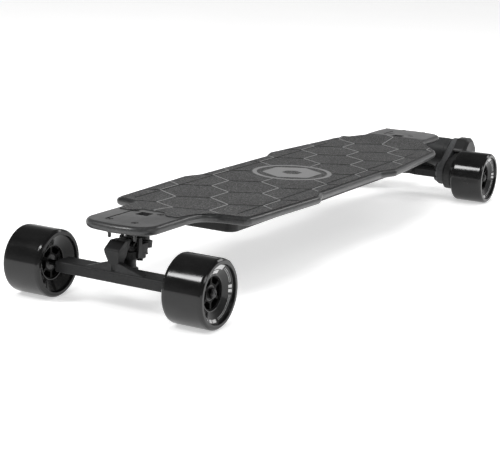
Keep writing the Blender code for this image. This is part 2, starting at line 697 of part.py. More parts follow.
def tangent_loop(margin, steps):
    """A loop round both pulleys, margin outside their pitch circles, in (u, z)."""
    wheel = Vector((0, AXLE_Z))
    motor = Vector((MOTOR_BACK, MOTOR_Z))
    big, small = WHEEL_PULLEY_R + margin, MOTOR_PULLEY_R + margin
    reach = motor - wheel
    lean = atan2(reach.y, reach.x)
    spread = atan2((reach.length ** 2 - (big - small) ** 2) ** 0.5, big - small)
    points = []
    for centre, radius, start, sweep in ((wheel, big, lean + spread, 2 * (pi - spread)),
                                         (motor, small, lean - spread, 2 * spread)):
        for k in range(steps + 1):
            angle = start + sweep * k / steps
            points.append(centre + Vector((cos(angle), sin(angle))) * radius)
    return points


def across(outlines, low_y, high_y):
    """Extrude (u, z) outlines across Y, without rounding."""
    swap = Matrix(((1, 0, 0, 0), (0, 0, -1, 0), (0, 1, 0, 0), (0, 0, 0, 1)))
    low, high = sorted((-low_y, -high_y))
    return plate(outlines, low, high, swap)


def make_drive(truck, side, label, hub):
    """Motor, mount, pulleys, belt and cover on one side of the rear hanger."""
    shaft = truck.empty(label + "_shaft", (MOTOR_BACK, side * 0.05, MOTOR_Z), truck.frame)
    bpy.context.view_layer.update()

    def y(*places):
        return sorted(side * place for place in places)

    make_motor(truck, side, label)
    make_mount(truck, label, y)
    make_motor_pulley(side, label, shaft)
    make_wheel_pulley(side, label, hub)
    belt = across([tangent_loop(0.0004 + BELT_THICK, 12), tangent_loop(0.0004, 12)],
                  *y(BELT_Y - BELT_WIDTH / 2, BELT_Y + BELT_WIDTH / 2))
    keep(smooth(belt), label + "_belt", "belt", truck.hanger)
    make_cover(truck, label, y)


def make_motor(truck, side, label):
    length = MOUNT_IN - GAP - MOTOR_IN
    place = along_y(MOTOR_BACK, side * MOTOR_IN, MOTOR_Z)
    if side < 0:
        place = place @ Matrix.Rotation(pi, 4, "X")
    can = [(0.0035, length), (MOTOR_R - 0.0020, length), (MOTOR_R, length - 0.0020),
           (MOTOR_R, 0.0030), (MOTOR_R - 0.0030, 0), (0.0035, 0), (0.0035, length)]
    keep(smooth(turned(can, 28, place)), label + "_motor", "motor", truck.hanger)


def make_mount(truck, label, y):
    """A plate from the bar's end up to the motor's face."""
    corners = [(-0.0240, 0.0250, 0.006), (0.0180, 0.0250, 0.006), (0.0930, 0.0560, 0.020),
               (0.0930, 0.0980, 0.020), (0.0690, 0.1100, 0.016), (0.0430, 0.1040, 0.014),
               (-0.0040, 0.0740, 0.006), (-0.0240, 0.0740, 0.006)]
    middle = circle(MOTOR_PILOT_R, 16, MOTOR_BACK, MOTOR_Z)
    axle = circle(AXLE_R + 0.0003, 12, 0, AXLE_Z)
    mount = across([rounded(corners, 4), middle, axle], *y(MOUNT_IN, MOUNT_OUT))
    keep(smooth(mount), label + "_motor_mount", "forging", truck.hanger)


def make_motor_pulley(side, label, shaft):
    """The motor's shaft, running through its can, with the small pulley on it."""
    place = along_y(MOTOR_BACK, 0, MOTOR_Z)
    if side < 0:
        place = place @ Matrix.Rotation(pi, 4, "X")
    root = MOTOR_PULLEY_R - TOOTH_ROOT
    flange = MOTOR_PULLEY_R + 0.0030
    profile = [(0, PULLEY_OUT + 0.0010), (flange, PULLEY_OUT + 0.0010), (flange, PULLEY_OUT),
               (root, PULLEY_OUT), (root, PULLEY_IN), (flange, PULLEY_IN),
               (flange, PULLEY_IN - 0.0010), (0.0030, PULLEY_IN - 0.0010),
               (0.0030, MOTOR_IN + 0.0030), (0, MOTOR_IN + 0.0030)]
    keep(smooth(turned(profile, 16, place)), label + "_motor_pulley", "pulley", shaft)


def make_wheel_pulley(side, label, hub):
    """The large pulley, bolted to the wheel's core from its inner side."""
    place = along_y(0, 0, AXLE_Z)
    if side < 0:
        place = place @ Matrix.Rotation(pi, 4, "X")
    root = WHEEL_PULLEY_R - TOOTH_ROOT
    flange = WHEEL_PULLEY_R + FLANGE_OUT
    inner_face = WHEEL_Y - CORE_HALF - GAP
    tyre_face = WHEEL_INNER_Y - 0.0006
    profile = [(0.0120, inner_face), (0.0190, inner_face), (0.0190, tyre_face),
               (flange, tyre_face), (flange, PULLEY_OUT),
               (root, PULLEY_OUT), (root, PULLEY_IN), (flange, PULLEY_IN),
               (flange, PULLEY_IN - 0.0012), (0.0120, PULLEY_IN - 0.0012), (0.0120, inner_face)]
    keep(smooth(turned(profile, 24, place)), label + "_pulley", "pulley", hub)


def make_cover(truck, label, y):
    """A cap over the motor pulley, open towards the wheel's pulley."""
    inner, outer = y(COVER_IN, COVER_OUT)
    shell = across([circle(COVER_R, 28, MOTOR_BACK, MOTOR_Z)], inner, outer)
    hollow_y = y(COVER_IN - 0.01, COVER_OUT - COVER_WALL)
    hollow = across([circle(COVER_R - COVER_WALL, 28, MOTOR_BACK, MOTOR_Z)], *hollow_y)
    boolean(shell, tool(hollow, truck.hanger))
    opening = across([circle(WHEEL_CLEAR_R, 28, 0, AXLE_Z)], *y(COVER_IN - 0.01, COVER_OUT + 0.01))
    boolean(shell, tool(opening, truck.hanger))
    boolean(shell, tool(belt_mouth(y), truck.hanger))
    keep(smooth(shell), label + "_pulley_cover", "cover", truck.hanger)


def belt_mouth(y):
    """The side of the cap that the belt leaves by."""
    toward = Vector((-MOTOR_BACK, AXLE_Z - MOTOR_Z)).normalized()
    aside = Vector((-toward.y, toward.x)) * MOUTH_HALF
    start = Vector((MOTOR_BACK, MOTOR_Z)) + toward * 0.010
    end = start + toward * 0.05
    corners = [start - aside, end - aside, end + aside, start + aside]
    return across([corners], *y(COVER_IN - 0.01, COVER_OUT - COVER_WALL))


# ---- assembly -----------------------------------------------------------
def make_truck(name, axle_x, turn, deck_top, bar_y):
    truck = Truck(name, axle_x, turn, deck_top - DECK_THICK, bar_y)
    make_baseplate(truck)
    make_kingpins(truck)
    make_bushings(truck)
    make_link(truck)
    make_hanger(truck)
    make_axle(truck)
    return truck


clear_scene()
PARTS = new_collection("electric_skateboard")
CUTTERS = new_collection("cutters")
make_deck()
make_grip()
make_truck_bolts()
make_enclosure()
make_electrics()
front = make_truck("front", FRONT_AXLE_X, 0, NOSE_TOP, FRONT_BAR_Y)
rear = make_truck("rear", REAR_AXLE_X, pi, TAIL_TOP, REAR_BAR_Y)
# The rear frame is turned half round, so its local right is the board's left.
for truck, local_left in ((front, 1), (rear, -1)):
    for hand, side in (("left", local_left), ("right", -local_left)):
        label = truck.name + "_" + hand
        hub = make_wheel(truck, side, label)
        if truck is rear:
            make_drive(truck, side, label, hub)
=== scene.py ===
"""Looks for the electric longboard: fine meshes, finishes, light and camera.

Metres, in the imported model's own frame: +X to the nose, +Y to the left, +Z up.
"""
import json
from math import acos, atan2, cos, pi, radians, sin, sqrt, tan

import bmesh
import bpy
from mathutils import Matrix, Vector

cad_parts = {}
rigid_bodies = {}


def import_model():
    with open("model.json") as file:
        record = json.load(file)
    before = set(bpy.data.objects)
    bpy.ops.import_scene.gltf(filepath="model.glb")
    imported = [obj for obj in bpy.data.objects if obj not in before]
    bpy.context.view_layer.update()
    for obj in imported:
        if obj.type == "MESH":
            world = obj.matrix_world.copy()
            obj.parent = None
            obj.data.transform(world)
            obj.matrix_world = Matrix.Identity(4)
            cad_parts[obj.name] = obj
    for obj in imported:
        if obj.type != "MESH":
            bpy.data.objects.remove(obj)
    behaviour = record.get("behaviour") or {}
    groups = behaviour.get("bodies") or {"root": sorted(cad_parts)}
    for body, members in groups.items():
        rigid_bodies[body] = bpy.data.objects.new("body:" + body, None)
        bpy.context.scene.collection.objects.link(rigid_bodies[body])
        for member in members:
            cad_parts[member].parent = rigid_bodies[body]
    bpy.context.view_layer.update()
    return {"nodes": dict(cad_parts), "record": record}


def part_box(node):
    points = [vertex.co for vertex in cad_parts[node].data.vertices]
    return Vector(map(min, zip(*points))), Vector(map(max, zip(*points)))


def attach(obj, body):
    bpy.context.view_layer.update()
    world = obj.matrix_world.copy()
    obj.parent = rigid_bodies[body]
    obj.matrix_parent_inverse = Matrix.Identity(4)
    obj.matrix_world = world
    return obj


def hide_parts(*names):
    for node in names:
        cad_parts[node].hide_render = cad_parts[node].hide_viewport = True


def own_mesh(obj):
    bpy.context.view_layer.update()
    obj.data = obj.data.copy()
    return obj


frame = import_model()


# ---- sizes read from the frame ------------------------------------------
def middle(node):
    low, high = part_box(node)
    return (low + high) / 2


def pivot(name):
    return Vector(next(j["pos_m"] for j in frame["record"]["behaviour"]["joints"] if j["name"] == name))


GAP = 0.0003
FRONT_X = middle("front_axle").x
REAR_X = middle("rear_axle").x
MIDDLE_X = (FRONT_X + REAR_X) / 2
AXLE_Z = middle("front_axle").z
WHEEL_Y = middle("front_left_tyre").y
TYRE_LOW, TYRE_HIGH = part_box("front_left_tyre")
WHEEL_R = TYRE_HIGH.z / 2
WHEEL_HALF = (TYRE_HIGH.y - TYRE_LOW.y) / 2
DECK_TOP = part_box("grip_sheet")[0].z - GAP
NOSE_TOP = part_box("nose_bolt_1")[1].z + 0.0002
TAIL_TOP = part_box("tail_bolt_1")[1].z + 0.0002
DECK_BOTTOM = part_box("deck")[0].z
RISE_START, RISE_END = 0.34, 0.428      # where the platforms' slopes begin and end
GRIP_THICK = 0.0009
AXLE_R = 0.004


# ---- mesh helpers -------------------------------------------------------
def mesh_object(bm, name="piece"):
    mesh = bpy.data.meshes.new(name)
    bm.normal_update()
    bm.to_mesh(mesh)
    bm.free()
    return bpy.data.objects.new(name, mesh)


def rounded(corners, steps=5):
    """Round each (x, y, radius) corner of a closed outline with an arc."""
    points = []
    count = len(corners)
    for i, (x, y, radius) in enumerate(corners):
        here = Vector((x, y))
        if radius <= 0:
            points.append(here)
            continue
        back = (Vector(corners[i - 1][:2]) - here).normalized()
        ahead = (Vector(corners[(i + 1) % count][:2]) - here).normalized()
        half = back.angle(ahead) / 2
        centre = here + (back + ahead).normalized() * radius / sin(half)
        start = here + back * radius / tan(half) - centre
        end = here + ahead * radius / tan(half) - centre
        turn = atan2(start.x * end.y - start.y * end.x, start.dot(end))
        for k in range(steps + 1):
            angle = turn * k / steps
            points.append(centre + Vector((start.x * cos(angle) - start.y * sin(angle),
                                           start.x * sin(angle) + start.y * cos(angle))))
    return points


def circle(radius, sides, x=0.0, y=0.0, phase=0.0):
    return [Vector((x + radius * cos(2 * pi * k / sides + phase),
                    y + radius * sin(2 * pi * k / sides + phase))) for k in range(sides)]


def turned(profile, sides, matrix=None, steps=3):
    """Turn (radius, height, rounding) points, a closed section or one that ends on the axis."""
    on_axis = profile[0][0] == 0
    outline = rounded([(r, h, rest[0] if rest else 0.0) for r, h, *rest in profile], steps)
    bm = bmesh.new()
    rings = []
    for point in outline:
        if point.x < 1e-7:
            rings.append([bm.verts.new((0, 0, point.y))])
        else:
            rings.append([bm.verts.new((*p, point.y)) for p in circle(point.x, sides)])
    pairs = list(zip(rings, rings[1:]))
    if not on_axis:
        pairs.append((rings[-1], rings[0]))
    for a, b in pairs:
        if len(a) == 1 and len(b) == 1:
            continue
        for k in range(sides):
            after = (k + 1) % sides
            if len(a) == 1:
                bm.faces.new((a[0], b[k], b[after]))
            elif len(b) == 1:
                bm.faces.new((a[k], b[0], a[after]))
            else:
                bm.faces.new((a[k], b[k], b[after], a[after]))
    bmesh.ops.recalc_face_normals(bm, faces=bm.faces)
    bm.transform(matrix or Matrix.Identity(4))
    return mesh_object(bm)


def rod(radius, top, bottom, sides, matrix=None):
    """A plain cylinder along Z."""
    return turned([(0, top), (radius, top), (radius, bottom), (0, bottom)], sides, matrix)


def rectangle(x0, y0, x1, y1, radius=0.0, steps=3):
    """A rectangular outline with rounded corners."""
    return rounded([(x0, y0, radius), (x1, y0, radius), (x1, y1, radius), (x0, y1, radius)], steps)


def plate(outlines, low, high, matrix=None, edge=0.0, segments=2):
    """Extrude flat outlines (the later ones are holes) along Z, with softened edges."""
    curve = bpy.data.curves.new("outline", "CURVE")
    curve.dimensions = "2D"
    curve.fill_mode = "BOTH"
    curve.extrude = (high - low) / 2
    for outline in outlines:
        spline = curve.splines.new("POLY")
        spline.points.add(len(outline) - 1)
        for point, place in zip(spline.points, outline):
            point.co = (place.x, place.y, 0, 1)
        spline.use_cyclic_u = True
    flat = bpy.data.objects.new("outline", curve)
    bpy.context.scene.collection.objects.link(flat)
    bpy.context.view_layer.update()
    solid = bpy.data.meshes.new_from_object(flat.evaluated_get(bpy.context.evaluated_depsgraph_get()))
    bpy.data.objects.remove(flat, do_unlink=True)
    bm = bmesh.new()
    bm.from_mesh(solid)
    bmesh.ops.remove_doubles(bm, verts=bm.verts, dist=1e-6)
    bmesh.ops.dissolve_limit(bm, angle_limit=radians(0.5), verts=bm.verts, edges=bm.edges)
    bmesh.ops.recalc_face_normals(bm, faces=bm.faces)
    bmesh.ops.translate(bm, vec=(0, 0, (low + high) / 2), verts=bm.verts)
    if edge:
        rim = [e for e in bm.edges if len(e.link_faces) == 2
               and sum(abs(f.normal.z) > 0.5 for f in e.link_faces) == 1]
        bmesh.ops.bevel(bm, geom=rim, offset=edge, segments=segments, profile=0.5, affect="EDGES",
                        clamp_overlap=False)
    bm.transform(matrix or Matrix.Identity(4))
    return mesh_object(bm)


def block(low, high, edge=0.0, segments=2):
    bm = bmesh.new()
    bmesh.ops.create_cube(bm, size=1)
    low, high = Vector(low), Vector(high)
    bmesh.ops.scale(bm, vec=high - low, verts=bm.verts)
    bmesh.ops.translate(bm, vec=(low + high) / 2, verts=bm.verts)
    if edge:
        bmesh.ops.bevel(bm, geom=bm.edges[:], offset=edge, segments=segments, profile=0.5, affect="EDGES")
    return mesh_object(bm)


def joined(objects):
    """One object from several; their meshes may cross."""
    bm = bmesh.new()
    for obj in objects:
        bm.from_mesh(obj.data)
        bpy.data.objects.remove(obj, do_unlink=True)
    return mesh_object(bm)


def placed(obj, matrix):
    obj.data.transform(matrix)
    if matrix.determinant() < 0:
        obj.data.flip_normals()
    return obj


def carve(obj, cutters, operation="DIFFERENCE"):
    """Apply an exact Boolean with each cutter and drop the cutters."""
    scene = bpy.context.scene.collection.objects
    scene.link(obj)
    for cutter in cutters:
        scene.link(cutter)
        step = obj.modifiers.new("cut", "BOOLEAN")
        step.operation = operation
        step.solver = "EXACT"
        step.object = cutter
    bpy.context.view_layer.update()
    graph = bpy.context.evaluated_depsgraph_get()
    mesh = bpy.data.meshes.new_from_object(obj.evaluated_get(graph))
    obj.modifiers.clear()
    obj.data = mesh
    scene.unlink(obj)
    for cutter in cutters:
        bpy.data.objects.remove(cutter, do_unlink=True)
    return obj


def soften(obj, width):
    """Round a CAD-like shape's edges; flat faces stay flat."""
    step = obj.modifiers.new("edges", "BEVEL")
    step.width = width
    step.segments = 2
    step.limit_method = "ANGLE"
    step.angle_limit = radians(28)
    step.use_clamp_overlap = True
    step.harden_normals = False


def weigh_normals(obj):
    weigh = obj.modifiers.new("shading", "WEIGHTED_NORMAL")
    weigh.keep_sharp = True


def show(obj, name, mat, body, nodes=(), angle=32):
    """Name a finished piece, give it its material and let it ride on its body."""
    obj.name = name
    obj.data.name = name
    obj.data.materials.clear()
    obj.data.materials.append(mat)
    bpy.context.scene.collection.objects.link(obj)
    obj.data.shade_smooth()
    obj.data.set_sharp_from_angle(angle=radians(angle))
    weigh_normals(obj)
    if nodes:
        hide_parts(*nodes)
    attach(obj, body)
    return obj


def along_y(x, y, z, side=1):
    """Lays a Z-axis shape across the board; side -1 points it to -Y."""
    lay = Matrix.Translation((x, y, z)) @ Matrix.Rotation(-pi / 2, 4, "X")
    return lay if side > 0 else lay @ Matrix.Rotation(pi, 4, "X")


def in_xz(outlines, low_y, high_y, edge=0.0, segments=2):
    """Extrude (x, z) outlines across Y."""
    swap = Matrix(((1, 0, 0, 0), (0, 0, -1, 0), (0, 1, 0, 0), (0, 0, 0, 1)))
    low, high = sorted((-low_y, -high_y))
    return plate(outlines, low, high, swap, edge, segments)


# ---- materials ----------------------------------------------------------
def fill(node, **values):
    """Set a node's sockets: low_high stands for the socket Low High."""
    for name, value in values.items():
        node.inputs[name.replace("_", " ")].default_value = value


def set_stops(node, stops):
    """Give a colour ramp its (place, colour or grey level) stops."""
    elements = node.color_ramp.elements
    while len(elements) < len(stops):
        elements.new(0.5)
    for element, (place, colour) in zip(elements, stops):
        element.position = place
        element.color = (*(colour if isinstance(colour, tuple) else grey(colour)), 1)


def grey(value, tint=(1.0, 1.0, 1.0)):
    return tuple(value * part for part in tint)


COOL = (0.985, 1.0, 1.02)


class Finish:
    """A Principled material whose colour, roughness and bump come from object-space noise."""

    def __init__(self, name, metallic=0.0, coat=0.0, specular=0.5):
        self.mat = bpy.data.materials.new(name)
        self.mat.use_nodes = True
        self.tree = self.mat.node_tree
        self.shader = self.tree.nodes["Principled BSDF"]
        fill(self.shader, Metallic=metallic, Coat_Weight=coat, Coat_Roughness=0.12,
             Specular_IOR_Level=specular)
        self.coords = self.tree.nodes.new("ShaderNodeTexCoord")
        self.bumped = None

    def node(self, kind, **values):
        made = self.tree.nodes.new(kind)
        for key, value in values.items():
            setattr(made, key, value)
        return made

    def link(self, source, target):
        self.tree.links.new(source, target)

    def noise(self, scale, detail=4.0, stretch=(1, 1, 1), rough=0.55):
        """Noise in object space; stretch above 1 makes it finer along that axis."""
        mapping = self.node("ShaderNodeMapping")
        fill(mapping, Scale=stretch)
        self.link(self.coords.outputs["Object"], mapping.inputs["Vector"])
        made = self.node("ShaderNodeTexNoise")
        fill(made, Scale=scale, Detail=detail, Roughness=rough)
        self.link(mapping.outputs["Vector"], made.inputs["Vector"])
        return made.outputs["Fac"]

    def ramp(self, source, stops):
        made = self.node("ShaderNodeValToRGB")
        set_stops(made, stops)
        self.link(source, made.inputs["Fac"])
        return made.outputs["Color"]

    def scaled(self, source, low, high):
        made = self.node("ShaderNodeMapRange")
        fill(made, From_Min=0.3, From_Max=0.7, To_Min=low, To_Max=high)
        self.link(source, made.inputs["Value"])
        return made.outputs["Result"]

    def mixed(self, first, second, amount, how="MIX"):
        made = self.node("ShaderNodeMix", data_type="RGBA", blend_type=how)
        if isinstance(amount, float):
            made.inputs["Factor"].default_value = amount
        else:
            self.link(amount, made.inputs["Factor"])
        for value, socket in ((first, made.inputs[6]), (second, made.inputs[7])):
            if isinstance(value, tuple):
                socket.default_value = (*value, 1)
            else:
                self.link(value, socket)
        return made.outputs[2]

    def colour(self, source):
        self.link(source, self.shader.inputs["Base Color"])
        return self

    def rough(self, source, low, high):
        self.link(self.scaled(source, low, high), self.shader.inputs["Roughness"])
        return self

    def bump(self, source, strength, distance=0.0004):
        made = self.node("ShaderNodeBump")
        fill(made, Strength=strength, Distance=distance)
        self.link(source, made.inputs["Height"])
        if self.bumped:
            self.link(self.bumped, made.inputs["Normal"])
        self.bumped = made.outputs["Normal"]
        self.link(self.bumped, self.shader.inputs["Normal"])
        return self

    def worn_edges(self, colour_source, wear_and_highlight):
        """Lighten convex edges, partly where a coating rubs thin and partly as a painted edge highlight."""
        geometry = self.node("ShaderNodeNewGeometry")
        mask = self.ramp(geometry.outputs["Pointiness"], [(0.515, 0.0), (0.56, 1.0)])
        patchy_wear_and_highlight = self.mixed((0.0, 0.0, 0.0), mask, self.noise(260.0, 3.0))
        return self.mixed(colour_source, wear_and_highlight, patchy_wear_and_highlight)


def deck_finish():
    """Satin composite: fine fibre streaks along the board under a thin clear layer."""
    f = Finish("deck_composite", coat=0.15)
    fibre = f.noise(420.0, 3.0, (0.16, 1.0, 1.0))
    broad = f.noise(14.0, 4.0)
    base = f.ramp(fibre, [(0.3, grey(0.014, COOL)), (0.55, grey(0.026, COOL)), (0.75, grey(0.046, COOL))])
    tone = f.ramp(broad, [(0.35, grey(0.85)), (0.65, grey(1.1))])
    # convex edges lightened: partly wear, partly a painted edge highlight
    f.colour(f.worn_edges(f.mixed(base, tone, 1.0, "MULTIPLY"), grey(0.09)))
    f.rough(broad, 0.3, 0.42)
    return f.bump(fibre, 0.25, 0.0003).bump(f.noise(2600.0, 2.0), 0.1, 0.0002).mat


def grip_finish():
    """Crushed mineral grit in black resin, with brighter grains scattered through it."""
    f = Finish("grip_grit")
    grit = f.noise(1500.0, 4.0, rough=0.7)
    speckle = f.noise(430.0, 3.0, rough=0.75)
    cells = f.node("ShaderNodeTexVoronoi")
    fill(cells, Scale=900.0)
    f.link(f.coords.outputs["Object"], cells.inputs["Vector"])
    broad = f.noise(9.0, 5.0)
    base = f.ramp(grit, [(0.34, grey(0.028)), (0.52, grey(0.058)), (0.7, grey(0.115))])
    glints = f.ramp(cells.outputs["Color"], [(0.8, 0.0), (0.93, 1.0)])
    lit = f.mixed(base, grey(0.2), f.mixed((0.0, 0.0, 0.0), glints, 0.4))
    tone = f.ramp(broad, [(0.3, grey(0.88)), (0.7, grey(1.1))])
    grains = f.ramp(speckle, [(0.38, grey(0.35)), (0.5, grey(0.92)), (0.62, grey(2.2))])
    f.colour(f.mixed(f.mixed(lit, grains, 1.0, "MULTIPLY"), tone, 1.0, "MULTIPLY"))
    f.rough(grit, 0.62, 0.95)
    return f.bump(grit, 0.9, 0.0005).bump(speckle, 0.5, 0.0009).mat


def line_finish(name, value):
    """Printed line ink, rubbed thin in places by shoes; the dark ink also paints the shade of the grip's
    creases.
    """
    f = Finish(name)
    wear = f.noise(700.0, 4.0)
    f.colour(f.ramp(wear, [(0.3, grey(value * 0.6)), (0.5, grey(value))]))
    return f.rough(wear, 0.6, 0.9).bump(wear, 0.4, 0.0002).mat


def urethane_finish():
    """Cast urethane: glossy, faint turning lines round the axle and light scuffs."""
    f = Finish("urethane", coat=0.14, specular=0.32)
    rings = f.noise(900.0, 2.0, (0.02, 1.0, 0.02))
    scuff = f.noise(55.0, 5.0, (1.0, 0.5, 1.0), 0.7)
    f.colour(f.ramp(scuff, [(0.35, grey(0.007)), (0.62, grey(0.01)), (0.8, grey(0.016))]))
    f.rough(scuff, 0.09, 0.16)
    return f.bump(rings, 0.03, 0.0002).bump(scuff, 0.03, 0.0004).mat


def forging_finish(name, value):
    """Black satin coating over forged aluminium, lighter on convex edges: partly rubbed bright, partly a
    painted edge highlight.
    """
    f = Finish(name, specular=0.24)
    cast = f.noise(900.0, 4.0)
    broad = f.noise(30.0, 4.0)
    base = f.ramp(broad, [(0.35, grey(value * 0.8, COOL)), (0.65, grey(value * 1.2, COOL))])
    # convex edges lightened: partly wear, partly a painted edge highlight
    f.colour(f.worn_edges(base, grey(value * 3.5, COOL)))
    f.rough(broad, 0.44, 0.58)
    return f.bump(cast, 0.18, 0.0003).mat


def moulded_finish(name, value, low, high, texture=1400.0, specular=0.4):
    """Moulded plastic with a fine spark-eroded texture and slight sheen variation."""
    f = Finish(name, specular=specular)
    spark = f.noise(texture, 3.0)
    broad = f.noise(24.0, 4.0)
    base = f.ramp(broad, [(0.35, grey(value * 0.85)), (0.65, grey(value * 1.15))])
    # convex edges lightened: partly wear, partly a painted edge highlight
    f.colour(f.worn_edges(base, grey(value * 2.2)))
    f.rough(broad, low, high)
    return f.bump(spark, 0.2, 0.0003).mat


def steel_finish(name, value, low=0.22, high=0.4):
    """Turned steel: fine concentric marks and slight staining."""
    f = Finish(name, metallic=1.0)
    marks = f.noise(2200.0, 2.0, (0.2, 0.2, 1.0))
    broad = f.noise(160.0, 4.0)
    # convex edges lightened: partly wear, partly a painted edge highlight
    f.colour(f.worn_edges(f.ramp(broad, [(0.3, grey(value * 0.8)), (0.7, grey(value * 1.15))]),
                          grey(min(value * 1.9, 0.7))))
    f.rough(broad, low, high)
    return f.bump(marks, 0.12, 0.0002).mat


def bushing_finish():
    """Soft urethane, slightly dusty."""
    f = Finish("bushing_urethane")
    dust = f.noise(300.0, 5.0)
    f.colour(f.ramp(dust, [(0.35, grey(0.012)), (0.65, grey(0.026))]))
    return f.rough(dust, 0.42, 0.62).bump(dust, 0.1, 0.0003).mat


def belt_finish():
    """Woven-backed rubber belt."""
    f = Finish("belt_rubber")
    weave = f.noise(2200.0, 2.0, (1.0, 0.3, 1.0))
    broad = f.noise(120.0, 4.0)
    f.colour(f.ramp(broad, [(0.35, grey(0.014)), (0.65, grey(0.024))]))
    return f.rough(broad, 0.45, 0.62).bump(weave, 0.35, 0.0003).mat


def plain_detail(name, tint, low, high):
    f = Finish(name)
    broad = f.noise(90.0, 4.0)
    lighter = tuple(min(part * 1.35, 1.0) for part in tint)
    f.colour(f.ramp(broad, [(0.35, tint), (0.65, lighter)]))
    return f.rough(broad, low, high).bump(f.noise(1500.0, 3.0), 0.12, 0.0002).mat


DECK = deck_finish()
GRIT = grip_finish()
LINE_LIGHT = line_finish("line_light", 0.34)
# the dark line ink also paints the shade of the grip's creases
LINE_DARK = line_finish("line_dark", 0.009)
BADGE = line_finish("badge_grey", 0.23)
PRINT = line_finish("wheel_print", 0.62)
URETHANE = urethane_finish()
CORE = moulded_finish("core_nylon", 0.003, 0.38, 0.52, specular=0.12)
FORGING = forging_finish("forging_black", 0.01)
COATED = steel_finish("black_oxide_steel", 0.055, 0.3, 0.46)
BRIGHT = steel_finish("bearing_steel", 0.07)
SEAL = moulded_finish("bearing_seal", 0.008, 0.4, 0.55)
BUSHING = bushing_finish()
PAN = moulded_finish("enclosure_plastic", 0.007, 0.34, 0.48, 1600.0, 0.28)
COVER = moulded_finish("cover_plastic", 0.013, 0.36, 0.5, 1600.0)
MOTOR = forging_finish("motor_can", 0.036)
MOUNT = forging_finish("mount_black", 0.048)
ANODISED = steel_finish("anodised_black", 0.04, 0.32, 0.46)
BELT = belt_finish()
GASKET = moulded_finish("gasket_rubber", 0.008, 0.6, 0.75)
CELLS = plain_detail("cell_wrap", (0.02, 0.06, 0.15), 0.35, 0.5)
CIRCUIT = plain_detail("circuit_coat", (0.01, 0.06, 0.03), 0.35, 0.5)
KEY = plain_detail("button_cap", (0.22, 0.22, 0.23), 0.25, 0.4)


# ---- deck ---------------------------------------------------------------
# Corners of the left half, nose to tail: x from the middle, half-width, radius.
DECK_CORNERS = [
    (0.535, 0.0, 0.0), (0.529, 0.0575, 0.032), (0.376, 0.058, 0.034),
    (0.36, 0.115, 0.013), (0.154, 0.1255, 0.014), (0.125, 0.1135, 0.02),
    (-0.1, 0.1135, 0.02), (-0.135, 0.1265, 0.014), (-0.36, 0.109, 0.03),
    (-0.406, 0.0625, 0.03), (-0.505, 0.0635, 0.03), (-0.515, 0.0, 0.0),
]
GRIP_CORNERS = [
    (0.429, 0.018, 0.004), (0.445, 0.03, 0.006), (0.445, 0.049, 0.005),
    (0.37, 0.061, 0.03), (0.355, 0.11, 0.01),
    (0.154, 0.1205, 0.014), (0.125, 0.1085, 0.02), (-0.1, 0.1085, 0.02),
    (-0.135, 0.1215, 0.014), (-0.358, 0.104, 0.028), (-0.406, 0.056, 0.015),
    (-0.418, 0.044, 0.008),
]
WINDOWS = [(0.4525, 0.0095, 0.01), (-0.428, 0.011, 0.01)]
GROOVES = [(0.437, 0.509, -0.0262), (-0.478, -0.436, -0.032)]      # start and end x, middle y
GROOVE_HALF, GROOVE_DEPTH = 0.0015, 0.0028
CLEAR_LOW, CLEAR_HIGH = 0.09, 0.14       # heights below and above the whole deck, for its cutters
BOLT_R = 0.0046
SEAT_R, SEAT_DEPTH, HOLE_R = 0.0052, 0.0033, 0.0027
BASEPLATE_HALF = 0.0283
BOLT_END = 0.0125                        # from a nut's seat to its bolt's tip


def mirrored(corners):
    """Close a left half-outline with its mirror image, in world x."""
    half = [(MIDDLE_X + x, y, r) for x, y, r in corners]
    return half + [(x, -y, r) for x, y, r in reversed(half) if y > 0]


def rise(x):
    """How far the deck's surface stands above its flat middle at world x."""
    along = x - MIDDLE_X
    share = min(max((abs(along) - RISE_START) / (RISE_END - RISE_START), 0), 1)
    share = share * share * (3 - 2 * share)
    return share * ((NOSE_TOP if along > 0 else TAIL_TOP) - DECK_TOP)


def follow_rise(obj, strips=16):
    """Slice across X through both slopes, then lift the strips onto the deck's profile."""
    bm = bmesh.new()
    bm.from_mesh(obj.data)
    for k in range(strips + 1):
        cut = RISE_START + (RISE_END - RISE_START) * k / strips
        for side in (1, -1):
            bmesh.ops.bisect_plane(bm, geom=bm.verts[:] + bm.edges[:] + bm.faces[:], dist=1e-7,
                                   plane_co=(MIDDLE_X + side * cut, 0, 0), plane_no=(1, 0, 0))
    for vert in bm.verts:
        vert.co.z += rise(vert.co.x)
    bm.to_mesh(obj.data)
    bm.free()
    return obj


def bolt_places():
    """World x, y and platform height of every truck bolt, by node name."""
    for end, top in (("nose", NOSE_TOP), ("tail", TAIL_TOP)):
        for k in range(1, 5):
            name = end + "_bolt_" + str(k)
            place = middle(name)
            yield name, place.x, place.y, top


